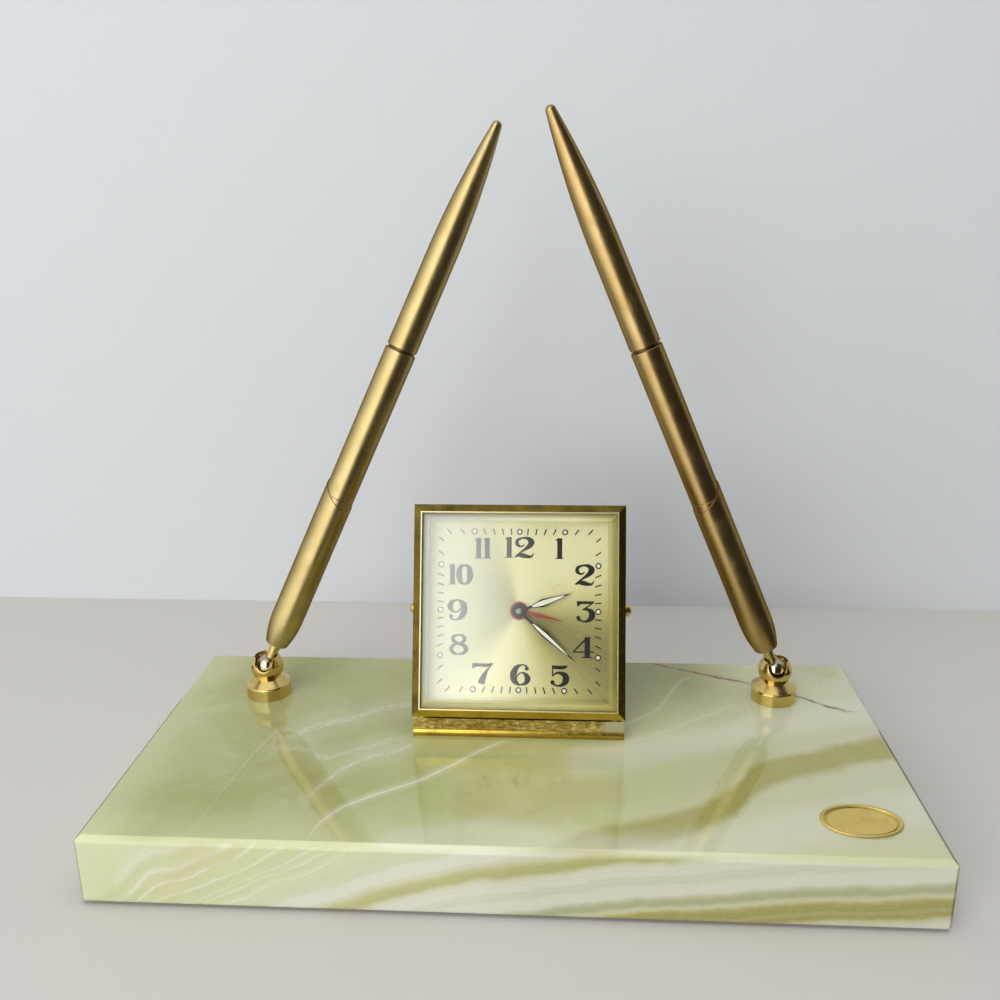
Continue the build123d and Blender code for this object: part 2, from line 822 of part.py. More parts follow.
# Axes of the movement on the clock's face
def from_place(place, angle, distance):
    ux, uz = direction(angle)
    return (place[0] + distance * ux, place[1] + distance * uz)


def pitch_distance(teeth_a, teeth_b, module):
    return module * (teeth_a + teeth_b) / 2


motion_distance = pitch_distance(cannon_teeth, minute_wheel_teeth, motion_module)
hour_module = 2 * motion_distance / (minute_pinion_teeth + hour_wheel_teeth)
alarm_module = 2 * motion_distance / (alarm_pinion_teeth + alarm_wheel_teeth)
centre = (0, 0)
minute_place = from_place(centre, minute_wheel_angle, motion_distance)
alarm_set_place = from_place(centre, alarm_set_angle, motion_distance)
great_distance = pitch_distance(great_teeth, centre_pinion_teeth, great_module)
centre_distance = pitch_distance(centre_teeth, third_pinion_teeth, centre_module)
third_distance = pitch_distance(third_teeth, fourth_pinion_teeth, third_module)
fourth_distance = pitch_distance(fourth_teeth, escape_pinion_teeth, fourth_module)
barrel_place = from_place(centre, barrel_angle, great_distance)
alarm_barrel_place = (alarm_barrel_x, alarm_barrel_z)
third_place = from_place(centre, third_angle, centre_distance)
fourth_place = from_place(third_place, fourth_angle, third_distance)
escape_place = from_place(fourth_place, escape_angle, fourth_distance)
pallet_place = from_place(escape_place, pallet_angle, pallet_distance)
balance_place = from_place(pallet_place, pallet_angle, balance_distance)
stop_place = (stop_x, case_inside[1] / 2 - stop_edge_gap)
slim_places = [third_place, fourth_place, escape_place, pallet_place, balance_place]
barrel_places = [barrel_place, alarm_barrel_place]


def bored(solid, place, front, back, diameter):
    return solid - rod(place[0], place[1], front - overrun, back + overrun, diameter)


def running(diameter):
    return diameter + 2 * running_clearance


# Plates, pillars and cover
def movement_plate(front):
    back = front + plate_thickness
    plate = square_plate((plate_width, plate_height), front, back)
    for place in slim_places:
        plate = bored(plate, place, front, back, running(train_arbor_diameter))
    for place in barrel_places:
        plate = bored(plate, place, front, back, running(barrel_arbor_diameter))
    plate = bored(plate, centre, front, back, running(centre_arbor_diameter))
    plate = bored(plate, alarm_set_place, front, back, running(alarm_arbor_diameter))
    for place in pillar_places:
        plate = bored(plate, place, front, back, pillar_end_diameter)
    return plate


def front_plate():
    plate = movement_plate(-front_plate_front)
    for place in dial_feet:
        plate = bored(plate, place, -front_plate_front, front_plate_back, dial_foot_diameter)
    stud_front = -hour_wheel_front - pinion_extra
    return plate + rod(minute_place[0], minute_place[1], stud_front, -front_plate_front, minute_stud_diameter)


def back_plate():
    plate = movement_plate(back_plate_front)
    plate = bored(plate, stop_place, back_plate_front, back_plate_back, running(stop_stem_diameter))
    boss_back = back_plate_back + regulator_boss_height
    plate += rod(balance_place[0], balance_place[1], back_plate_back, boss_back, regulator_boss_diameter)
    return bored(plate, balance_place, back_plate_front, boss_back, running(train_arbor_diameter))


def pillar(place):
    x, z = place
    column = rod(x, z, front_plate_back, back_plate_front, pillar_diameter)
    column += rod(x, z, -front_plate_front, front_plate_back, pillar_end_diameter)
    column += rod(x, z, back_plate_front, case_back, pillar_end_diameter)
    return bored(column, place, case_back - cover_screw_depth + overrun, case_back, cover_screw_diameter)


def cover_screw(place):
    x, z = place
    screw = rod(x, z, case_back - cover_screw_depth + overrun, cover_back, cover_screw_diameter)
    head = rod(x, z, cover_back, cover_back + cover_screw_head_height, cover_screw_head_diameter)
    slot_half = cover_screw_slot_width / 2
    slot_low = cover_back + cover_screw_head_height / 2
    span = cover_screw_head_diameter
    slot = block(x - span, x + span, slot_low, slot_low + overrun, z - slot_half, z + slot_half)
    return screw + head - slot


def back_cover():
    cover = rounded_plate(case_width, case_height, case_corner_radius, case_back, cover_thickness)
    rim_radius = case_corner_radius - case_wall
    rim_front = case_back - cover_rim_depth
    rim_size = inset(case_inside, cover_rim_clearance)
    rim = rounded_plate(*rim_size, rim_radius, rim_front, cover_rim_depth)
    rim_hole = inset(rim_size, case_wall)
    rim -= rounded_plate(*rim_hole, rim_radius / 2, rim_front - overrun, cover_rim_depth + 2 * overrun)
    cover += rim
    holes = [(place, cover_screw_diameter) for place in pillar_places]
    holes += [(place, barrel_arbor_diameter + 2 * cover_hole_clearance) for place in barrel_places]
    holes += [(centre, centre_arbor_diameter + 2 * cover_hole_clearance)]
    holes += [(alarm_set_place, alarm_arbor_diameter + 2 * cover_hole_clearance)]
    holes += [(stop_place, running(stop_stem_diameter))]
    for place, diameter in holes:
        cover = bored(cover, place, case_back, cover_back, diameter)
    pin = regulator_pin_diameter + 2 * regulator_slot_clearance
    spread = regulator_half_sweep + math.degrees(pin / regulator_radius) / 2
    arc = CenterArc((0, 0), regulator_radius, 90 - spread, 2 * spread)
    slot = SlotArc(arc, pin)
    plane = face_plane(balance_place[0], balance_place[1], case_back - overrun)
    return cover - extrude(plane * slot, amount=-(cover_thickness + 2 * overrun))


parts["front_plate"] = clock_frame * front_plate()
parts["back_plate"] = clock_frame * back_plate()
parts["pillars"] = [clock_frame * pillar(place) for place in pillar_places]
parts["back_cover"] = clock_frame * back_cover()
parts["cover_screws"] = [clock_frame * cover_screw(place) for place in pillar_places]


# Motion work: centre arbor, minute wheel, hour wheel and alarm wheel
hour_bore = running(cannon_tube_diameter)
hour_tube_diameter = hour_bore + 2 * hour_tube_wall
alarm_bore = running(hour_tube_diameter)
alarm_tube_diameter = alarm_bore + 2 * alarm_tube_wall
alarm_hand_back = -dial_front - alarm_hand_height
hour_hand_back = -dial_front - hour_hand_height
minute_hand_back = -dial_front - minute_hand_height
knob_front = cover_back + key_gap


def centre_arbor():
    arbor = rod(0, 0, -minute_wheel_front, knob_front + knob_height, centre_arbor_diameter)
    pinion_back = -minute_wheel_front + wheel_thickness + pinion_extra
    pinion_front = -minute_wheel_front - pinion_extra
    tooth_at = minute_wheel_angle
    arbor += toothed(centre, pinion_front, pinion_back - pinion_front, cannon_teeth, motion_module, tooth_at)
    arbor += rod(0, 0, minute_hand_back, pinion_front, cannon_tube_diameter)
    return arbor + rod(0, 0, -dial_front - arbor_tip_height, minute_hand_back, minute_seat_diameter)


def minute_wheel():
    back_to_centre = minute_wheel_angle + 180
    wheel = toothed(
        minute_place, -minute_wheel_front, wheel_thickness, minute_wheel_teeth, motion_module,
        gap_at(back_to_centre, minute_wheel_teeth),
    )
    pinion_front = -hour_wheel_front - pinion_extra / 2
    wheel += toothed(
        minute_place, pinion_front, -minute_wheel_front - pinion_front, minute_pinion_teeth, hour_module,
        back_to_centre,
    )
    wheel_back = -minute_wheel_front + wheel_thickness
    return bored(wheel, minute_place, pinion_front, wheel_back, running(minute_stud_diameter))


def hour_wheel():
    wheel = toothed(
        centre, -hour_wheel_front, wheel_thickness, hour_wheel_teeth, hour_module,
        gap_at(minute_wheel_angle, hour_wheel_teeth),
    )
    wheel += rod(0, 0, hour_hand_back - hand_thickness, -hour_wheel_front, hour_tube_diameter)
    wheel_back = -hour_wheel_front + wheel_thickness
    return bored(wheel, centre, hour_hand_back - hand_thickness, wheel_back, hour_bore)


def alarm_wheel():
    wheel = toothed(
        centre, -alarm_wheel_front, wheel_thickness, alarm_wheel_teeth, alarm_module,
        gap_at(alarm_set_angle, alarm_wheel_teeth),
    )
    wheel += rod(0, 0, alarm_hand_back - hand_thickness, -alarm_wheel_front, alarm_tube_diameter)
    wheel_back = -alarm_wheel_front + wheel_thickness
    return bored(wheel, centre, alarm_hand_back - hand_thickness, wheel_back, alarm_bore)


def hand(length, width, angle, hub, bore, back):
    """A lozenge hand at a clock bearing, on a round hub."""
    widest = length * hand_widest_share
    shoulder = length * hand_shoulder_share
    stem = hand_stem_width / 2
    blade = make_face(Polyline(
        (-stem, 0), (stem, 0), (stem, shoulder), (width / 2, widest), (0, length),
        (-width / 2, widest), (-stem, shoulder), close=True,
    ))
    outline = Rot(0, 0, -angle) * blade + Circle(hub / 2) - Circle(bore / 2)
    return extrude(face_plane(0, 0, back - hand_thickness) * outline, amount=-hand_thickness)


parts["centre_arbor"] = clock_frame * centre_arbor()
parts["minute_wheel"] = clock_frame * minute_wheel()
parts["hour_wheel"] = clock_frame * hour_wheel()
parts["alarm_wheel"] = clock_frame * alarm_wheel()
parts["minute_hand"] = clock_frame * hand(
    minute_hand_length, minute_hand_width, minute_hand_angle, minute_hub_diameter, minute_seat_diameter,
    minute_hand_back,
)
parts["hour_hand"] = clock_frame * hand(
    hour_hand_length, hour_hand_width, hour_hand_angle, hour_hub_diameter, hour_tube_diameter,
    hour_hand_back,
)
parts["alarm_hand"] = clock_frame * hand(
    alarm_hand_length, alarm_hand_width, alarm_hand_angle, alarm_hub_diameter, alarm_tube_diameter,
    alarm_hand_back,
)


# Going train between the plates
def layer(depth):
    return front_plate_back + depth


def train_arbor(place):
    return rod(place[0], place[1], -front_plate_front, back_plate_back, train_arbor_diameter)


def pinion(place, at_layer, teeth, module, tooth_at):
    front = layer(at_layer) - (pinion_length - wheel_thickness) / 2
    return toothed(place, front, pinion_length, teeth, module, tooth_at)


def drum(place):
    x, z = place
    front = layer(great_layer) + great_thickness
    back = front + barrel_depth
    body = rod(x, z, front, back, barrel_diameter)
    return body - rod(x, z, front + barrel_wall, back + overrun, barrel_diameter - 2 * barrel_wall)


def time_barrel():
    front = layer(great_layer)
    toward_centre = bearing(barrel_place, centre)
    wheel = toothed(barrel_place, front, great_thickness, great_teeth, great_module, toward_centre)
    barrel = wheel + drum(barrel_place)
    return bored(barrel, barrel_place, front, front + barrel_depth, running(barrel_arbor_diameter))


def alarm_barrel():
    x, z = alarm_barrel_place
    front = layer(great_layer)
    barrel = rod(x, z, front, front + great_thickness, barrel_diameter) + drum(alarm_barrel_place)
    return bored(barrel, alarm_barrel_place, front, front + barrel_depth, running(barrel_arbor_diameter))


def mainspring(place):
    x, z = place
    front = layer(great_layer) + great_thickness + barrel_wall
    back = layer(great_layer) + great_thickness + barrel_depth - mainspring_clearance
    outer = barrel_diameter - 2 * barrel_wall - 2 * mainspring_clearance
    coil = rod(x, z, front + mainspring_clearance, back, outer)
    return bored(coil, place, front, back, barrel_arbor_diameter + 2 * mainspring_clearance)


def centre_wheel():
    wheel = toothed(
        centre, layer(centre_layer), wheel_thickness, centre_teeth, centre_module, third_angle
    )
    sleeve_end = layer(great_layer) + great_thickness + pinion_extra
    pinion_front = layer(great_layer) - pinion_extra
    toward_barrel = bearing(centre, barrel_place)
    wheel += toothed(
        centre, pinion_front, sleeve_end - pinion_front, centre_pinion_teeth, great_module,
        gap_at(toward_barrel, centre_pinion_teeth),
    )
    sleeve = great_module * (centre_pinion_teeth - 2 * tooth_root_depth_share)
    wheel += rod(0, 0, layer(centre_layer), pinion_front, sleeve)
    return bored(wheel, centre, layer(0), sleeve_end, running(centre_arbor_diameter))


def train_wheel(place, wheel_layer, teeth, module, driven, pinion_layer, pinion_teeth, pinion_module, driver):
    """An arbor with a wheel that meshes towards driven and a pinion that meshes towards driver."""
    wheel = train_arbor(place)
    wheel += toothed(place, layer(wheel_layer), wheel_thickness, teeth, module, bearing(place, driven))
    tooth_at = gap_at(bearing(place, driver), pinion_teeth)
    return wheel + pinion(place, pinion_layer, pinion_teeth, pinion_module, tooth_at)


def escape_wheel():
    tip = escape_diameter / 2
    root = tip - escape_tooth_depth
    points = []
    pitch = 360 / escape_teeth
    for tooth in range(escape_teeth):
        for radius, share in ((tip, 0), (root, tooth_tip_half_share), (root, 1 - tooth_root_half_share)):
            ux, uz = direction((tooth + share) * pitch)
            points.append((radius * ux, radius * uz))
    outline = make_face(Polyline(*points, close=True))
    plane = face_plane(escape_place[0], escape_place[1], layer(escape_layer))
    wheel = train_arbor(escape_place) + extrude(plane * outline, amount=-wheel_thickness)
    tooth_at = gap_at(bearing(escape_place, fourth_place), escape_pinion_teeth)
    return wheel + pinion(escape_place, fourth_layer, escape_pinion_teeth, fourth_module, tooth_at)


def pallet_lever():
    """An anchor whose forked tail points at the balance staff; drawn with +X towards the balance."""
    bar = Pos(pallet_fork_length / 2, 0) * Rectangle(pallet_fork_length, pallet_bar_width)
    arms = make_face(Polyline(
        (pallet_bar_width / 2, 0), (-pallet_arm_forward, pallet_arm_side), (-pallet_bar_width / 2, 0),
        (-pallet_arm_forward, -pallet_arm_side), close=True,
    ))
    outline = bar + arms + Circle(pallet_bar_width)
    for sign in (-1, 1):
        outline += Pos(-pallet_arm_forward, sign * pallet_arm_side) * Circle(pallet_pin_diameter / 2)
    plane = face_plane(pallet_place[0], pallet_place[1], layer(escape_layer))
    lever = extrude(plane * (Rot(0, 0, pallet_angle) * outline), amount=-pallet_thickness)
    return lever + train_arbor(pallet_place)


def balance_wheel():
    outer = balance_diameter / 2
    inner = outer - balance_rim_width
    hub = Circle(balance_roller_diameter / 2)
    rim = Circle(outer) - Circle(inner)
    spokes = Rectangle(2 * outer - balance_rim_width, balance_spoke_width)
    plane = face_plane(balance_place[0], balance_place[1], layer(balance_layer))
    wheel = extrude(plane * (rim + spokes + hub), amount=-balance_thickness)
    return wheel + rod(
        balance_place[0], balance_place[1], -front_plate_front, back_plate_back + regulator_boss_height,
        train_arbor_diameter,
    )


parts["time_barrel"] = clock_frame * time_barrel()
parts["alarm_barrel"] = clock_frame * alarm_barrel()
parts["time_mainspring"] = clock_frame * mainspring(barrel_place)
parts["alarm_mainspring"] = clock_frame * mainspring(alarm_barrel_place)
parts["centre_wheel"] = clock_frame * centre_wheel()
parts["third_wheel"] = clock_frame * train_wheel(
    third_place, third_layer, third_teeth, third_module, fourth_place,
    centre_layer, third_pinion_teeth, centre_module, centre,
)
parts["fourth_wheel"] = clock_frame * train_wheel(
    fourth_place, fourth_layer, fourth_teeth, fourth_module, escape_place,
    third_layer, fourth_pinion_teeth, third_module, third_place,
)
parts["escape_wheel"] = clock_frame * escape_wheel()
parts["pallet_lever"] = clock_frame * pallet_lever()
parts["balance_wheel"] = clock_frame * balance_wheel()


# Keys, knobs, stop button and regulator on the back
def winding_key(place):
    x, z = place
    wing_front = cover_back + key_gap + key_shank_length
    key = rod(x, z, -front_plate_front, wing_front, barrel_arbor_diameter)
    key += rod(x, z, cover_back + key_gap, wing_front, key_hub_diameter)
    lobe = key_wing_height / 2
    outline = Pos(0, lobe) * SlotOverall(key_wing_span, key_wing_height)
    side = Plane(origin=(x, wing_front, z - key_wing_thickness / 2), x_dir=(1, 0, 0), z_dir=(0, 0, 1))
    return key + extrude(side * outline, amount=key_wing_thickness)


def grooved_knob(place, diameter):
    x, z = place
    knob = rod(x, z, knob_front, knob_front + knob_height, diameter)
    for groove in range(knob_grooves):
        gx, gz = from_place(place, groove * 360 / knob_grooves, diameter / 2)
        knob -= rod(gx, gz, knob_front - overrun, knob_front + knob_height + overrun, knob_groove_diameter)
    return knob


def time_set_knob():
    knob = grooved_knob(centre, knob_diameter)
    return bored(knob, centre, knob_front, knob_front + knob_height, centre_arbor_diameter)


def alarm_set_knob():
    x, z = alarm_set_place
    pinion_front = -alarm_wheel_front - pinion_extra / 2
    shaft = rod(x, z, pinion_front, knob_front, alarm_arbor_diameter)
    shaft += toothed(
        alarm_set_place, pinion_front, wheel_thickness + pinion_extra, alarm_pinion_teeth, alarm_module,
        alarm_set_angle + 180,
    )
    return shaft + grooved_knob(alarm_set_place, alarm_knob_diameter)


def stop_button():
    x, z = stop_place
    head_front = cover_back + stop_gap
    stem = rod(x, z, cover_back - stop_stem_reach, head_front, stop_stem_diameter)
    return stem + rod(x, z, head_front, head_front + stop_head_height, stop_head_diameter)


def regulator_lever():
    x, z = balance_place
    front = back_plate_back + running_clearance
    outer = regulator_boss_diameter + 2 * regulator_ring_width
    arm_half = regulator_pin_diameter / 2
    back = front + regulator_ring_thickness
    lever = rod(x, z, front, back, outer)
    lever += block(x - arm_half, x + arm_half, front, back, z, z + regulator_radius)
    lever += rod(x, z + regulator_radius, front, cover_back + regulator_pin_proud, regulator_pin_diameter)
    return bored(lever, balance_place, front, back, running(regulator_boss_diameter))


parts["time_key"] = clock_frame * winding_key(barrel_place)
parts["alarm_key"] = clock_frame * winding_key(alarm_barrel_place)
parts["time_set_knob"] = clock_frame * time_set_knob()
parts["alarm_set_knob"] = clock_frame * alarm_set_knob()
parts["stop_button"] = clock_frame * stop_button()
parts["regulator_lever"] = clock_frame * regulator_lever()

# One file for each node
os.makedirs("parts", exist_ok=True)
for name, shape in parts.items():
    if isinstance(shape, list):
        shape = Compound(children=shape)
    export_step(shape, "parts/" + name + ".step")
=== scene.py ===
import json
import math

import bmesh
import bpy
from mathutils import Matrix, Vector
from mathutils.geometry import delaunay_2d_cdt


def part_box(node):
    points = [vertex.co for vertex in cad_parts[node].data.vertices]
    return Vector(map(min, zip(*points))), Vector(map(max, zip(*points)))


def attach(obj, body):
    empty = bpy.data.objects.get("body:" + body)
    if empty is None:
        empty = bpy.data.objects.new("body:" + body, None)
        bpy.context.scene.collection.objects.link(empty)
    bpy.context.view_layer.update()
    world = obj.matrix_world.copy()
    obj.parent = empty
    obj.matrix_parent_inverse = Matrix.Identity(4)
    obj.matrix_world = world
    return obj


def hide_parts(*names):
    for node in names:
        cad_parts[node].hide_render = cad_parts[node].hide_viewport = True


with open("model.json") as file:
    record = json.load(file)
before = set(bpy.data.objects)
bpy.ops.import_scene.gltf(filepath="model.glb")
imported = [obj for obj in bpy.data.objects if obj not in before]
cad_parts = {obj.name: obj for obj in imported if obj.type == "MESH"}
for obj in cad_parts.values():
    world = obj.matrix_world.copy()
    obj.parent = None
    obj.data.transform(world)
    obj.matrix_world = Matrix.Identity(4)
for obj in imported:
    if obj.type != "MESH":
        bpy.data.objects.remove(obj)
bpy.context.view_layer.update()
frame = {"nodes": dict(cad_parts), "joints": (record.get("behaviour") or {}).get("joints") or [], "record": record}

nodes = frame["nodes"]
joints = {joint["name"]: joint for joint in frame["joints"]}
MM = 0.001


def srgb(red, green, blue):
    """Turns an 8-bit display colour into the linear colour that a shader takes."""
    def linear(value):
        share = value / 255
        return share / 12.92 if share <= 0.04045 else ((share + 0.055) / 1.055) ** 2.4
    return (linear(red), linear(green), linear(blue), 1.0)


class Graph:
    """A material with short calls for its shader nodes; inputs are numbers, colours or sockets."""

    def __init__(self, name):
        self.material = bpy.data.materials.new(name)
        self.material.use_nodes = True
        self.tree = self.material.node_tree
        self.tree.nodes.clear()
        self.output = self.tree.nodes.new("ShaderNodeOutputMaterial")

    def put(self, socket, value):
        if isinstance(value, bpy.types.NodeSocket):
            self.tree.links.new(value, socket)
        elif value is not None:
            socket.default_value = value

    def node(self, kind, **settings):
        node = self.tree.nodes.new(kind)
        for key, value in settings.items():
            setattr(node, key, value)
        return node

    def place(self):
        return self.node("ShaderNodeTexCoord").outputs["Object"]

    def place_mm(self):
        return self.scaled(self.place(), 1 / MM)

    def split(self, vector):
        node = self.node("ShaderNodeSeparateXYZ")
        self.put(node.inputs[0], vector)
        return node.outputs

    def math(self, operation, *values, clamp=False):
        node = self.node("ShaderNodeMath", operation=operation, use_clamp=clamp)
        for socket, value in zip(node.inputs, values):
            self.put(socket, value)
        return node.outputs[0]

    def vector(self, operation, *values):
        node = self.node("ShaderNodeVectorMath", operation=operation)
        for socket, value in zip(node.inputs, values):
            self.put(socket, value)
        scalar = operation in ("DOT_PRODUCT", "LENGTH", "DISTANCE")
        return node.outputs["Value" if scalar else "Vector"]

    def scaled(self, vector, factor):
        node = self.node("ShaderNodeVectorMath", operation="SCALE")
        self.put(node.inputs[0], vector)
        self.put(node.inputs["Scale"], factor)
        return node.outputs["Vector"]

    def span(self, value, low, high, to_low=0.0, to_high=1.0, smooth=False):
        node = self.node("ShaderNodeMapRange", interpolation_type="SMOOTHSTEP" if smooth else "LINEAR")
        for socket, number in zip(node.inputs, (value, low, high, to_low, to_high)):
            self.put(socket, number)
        return node.outputs[0]

    def noise(self, vector, scale, detail=3.0, roughness=0.55, distortion=0.0):
        node = self.node("ShaderNodeTexNoise")
        self.put(node.inputs["Vector"], vector)
        self.put(node.inputs["Scale"], scale)
        self.put(node.inputs["Detail"], detail)
        self.put(node.inputs["Roughness"], roughness)
        self.put(node.inputs["Distortion"], distortion)
        return node.outputs["Fac"]

    def noise_line(self, value, scale, detail=3.0):
        node = self.node("ShaderNodeTexNoise", noise_dimensions="1D")
        self.put(node.inputs["W"], value)
        self.put(node.inputs["Scale"], scale)
        self.put(node.inputs["Detail"], detail)
        return node.outputs["Fac"]

    def cells(self, vector, scale):
        node = self.node("ShaderNodeTexVoronoi")
        self.put(node.inputs["Vector"], vector)
        self.put(node.inputs["Scale"], scale)
        return node.outputs["Distance"]

    def ramp(self, value, stops):
        node = self.node("ShaderNodeValToRGB")
        elements = node.color_ramp.elements
        while len(elements) < len(stops):
            elements.new(1.0)
        for element, (place, colour) in zip(elements, stops):
            element.position = place
            element.color = colour
        self.put(node.inputs[0], value)
        return node.outputs["Color"]

    def curve(self, value, points):
        """A smooth line through given points: takes a number in mm and gives a number in mm."""
        xs = [x for x, _ in points]
        ys = [y for _, y in points]
        low, high = min(ys), max(ys)
        node = self.node("ShaderNodeFloatCurve")
        line = node.mapping.curves[0]
        shares = [((x - xs[0]) / (xs[-1] - xs[0]), (y - low) / (high - low)) for x, y in points]
        for place in shares[1:-1]:
            line.points.new(*place)
        line.points[0].location = shares[0]
        line.points[-1].location = shares[-1]
        node.mapping.update()
        self.put(node.inputs["Value"], self.span(value, xs[0], xs[-1]))
        return self.math("MULTIPLY_ADD", node.outputs[0], high - low, low)

    def mix(self, factor, first, second, blend="MIX"):
        node = self.node("ShaderNodeMix", data_type="RGBA", blend_type=blend)
        self.put(node.inputs["Factor"], factor)
        self.put(node.inputs[6], first)
        self.put(node.inputs[7], second)
        return node.outputs[2]

    def bump(self, height, strength, distance, normal=None):
        node = self.node("ShaderNodeBump")
        self.put(node.inputs["Height"], height)
        self.put(node.inputs["Strength"], strength)
        self.put(node.inputs["Distance"], distance)
        self.put(node.inputs["Normal"], normal)
        return node.outputs["Normal"]

    def bevel(self, radius):
        node = self.node("ShaderNodeBevel", samples=4)
        self.put(node.inputs["Radius"], radius)
        return node.outputs["Normal"]

    def principled(self, **inputs):
        node = self.node("ShaderNodeBsdfPrincipled")
        for name, value in inputs.items():
            self.put(node.inputs[name.replace("_", " ")], value)
        return node.outputs[0]

    def surface(self, shader):
        self.tree.links.new(shader, self.output.inputs["Surface"])
        return self.material


# The onyx: soft bands that follow one field through the stone, with veins laid over the top and the front

# Lengths in mm: the slab's top, half its width rounded up, and the range of the field
SLAB_TOP = 18.5
HALF_WIDTH = 102
FIELD_LOW = -240.0
FIELD_HIGH = 350.0
STONE_WHITE = srgb(226, 228, 212)
STONE_CREAM = srgb(214, 216, 182)
STONE_GREY = srgb(184, 188, 150)
STONE_OLIVE = srgb(172, 168, 98)
FRONT_OLIVE = srgb(174, 168, 102)
VEIN_WHITE = srgb(236, 237, 226)
STONE_SHADE = (0.80, 0.79, 0.75, 1.0)
# Painted shade on the slab's sides: a multiply that leaves them about 10% darker than the top
SIDE_PAINTED_SHADE = (0.90, 0.90, 0.925, 1.0)

# Veins on the top, each a line through (x, y) in mm, with its half width, strength and speckle share
TOP_VEINS = [
    ([(-46, -49), (-45, -42), (-42, -36), (-37, -31), (-30, -26), (-23, -21.5), (-16, -15), (-9, -7),
      (-3, -2)], 0.55, 0.75, 0.25),
    ([(-50, -30), (-47, -23), (-43, -16), (-38, -11.5), (-32, -8), (-27, -4.5)], 1.5, 0.55, 0.95),
    ([(-64, -4), (-60, 1), (-55, 5), (-50, 7.5), (-46, 9), (-42, 13), (-36, 16), (-28, 19)],
     2.2, 0.5, 0.95),
    ([(-74, -49), (-73, -36), (-71, -20), (-69, -8), (-66, 2)], 0.5, 0.32, 0.3),
    ([(-62, -8), (-55, -8.5), (-51, -12), (-46, -10), (-38, -5), (-31, -1)], 1.6, 0.4, 0.95),
    ([(30, 8), (36, 13), (42, 20), (45, 27), (50, 37)], 0.5, 0.38, 0.3),
    ([(28, -1), (38, 3), (50, 12), (62, 21)], 0.6, 0.25, 0.3),
]
# Bands on the top: line through (x, y) in mm, half width, soft edge, colour and strength
TOP_BANDS = [
    ([(8, -52), (24, -43), (41, -36), (55, -26), (66, -14), (84, -6.5), (102, 1)],
     3.0, 4.6, STONE_OLIVE, 0.95),
    ([(14, -12), (31, -7), (55, 3), (77, 14), (102, 20)], 3.0, 8.0, STONE_WHITE, 0.5),
    ([(-30, -52), (0, -46), (30, -49), (60, -40), (102, -26)], 3.0, 10.0, STONE_WHITE, 0.55),
    ([(-16, -31), (8, -23), (30, -18), (52, -12), (70, 0)], 4.0, 11.0, srgb(168, 170, 110), 0.25),
]
# A stained crack across the back right corner of the top, through (x, y) in mm
CRACK = [
    (36, 50), (46, 45), (54, 41.5), (62, 38), (69.4, 34.5), (76, 30), (82, 27.4), (89, 22), (95, 18.6),
]
# Hairlines on the front face: place along x - 1.75 z in mm, half width and strength
FRONT_HAIRLINES = [
    (-107, 4.5, 0.5), (-97, 2.4, 0.7), (-89, 1.1, 0.8), (-82.5, 0.9, 0.6), (-76, 0.9, 0.8), (-72, 0.7, 0.5),
    (-66, 0.9, 0.75),
]


def along(stops, low, high):
    return [((place - low) / (high - low), colour) for place, colour in sorted(stops)]


def line_stops(lines, low):
    """White lines on black: each has a place, a half width and a strength."""
    stops = [(low, (0, 0, 0, 1))]
    for place, half, strength in sorted(lines):
        stops += [
            (place - half, (0, 0, 0, 1)),
            (place, (strength, strength, strength, 1)),
            (place + half, (0, 0, 0, 1)),
        ]
    return stops


def near_line(g, x, y, points, half, soft, wobble):
    """One inside a line through points over x and y, fading to zero over its soft edge and its ends."""
    off = g.math("ABSOLUTE", g.math("SUBTRACT", g.math("ADD", y, wobble), g.curve(x, points)))
    inside = g.span(off, half, half + soft, 1.0, 0.0, smooth=True)
    first, last = points[0][0], points[-1][0]
    fade = 3.0
    start = g.span(x, first - fade, first + fade)
    end = g.span(x, last + fade, last - fade)
    return g.math("MULTIPLY", inside, g.math("MULTIPLY", start, end))


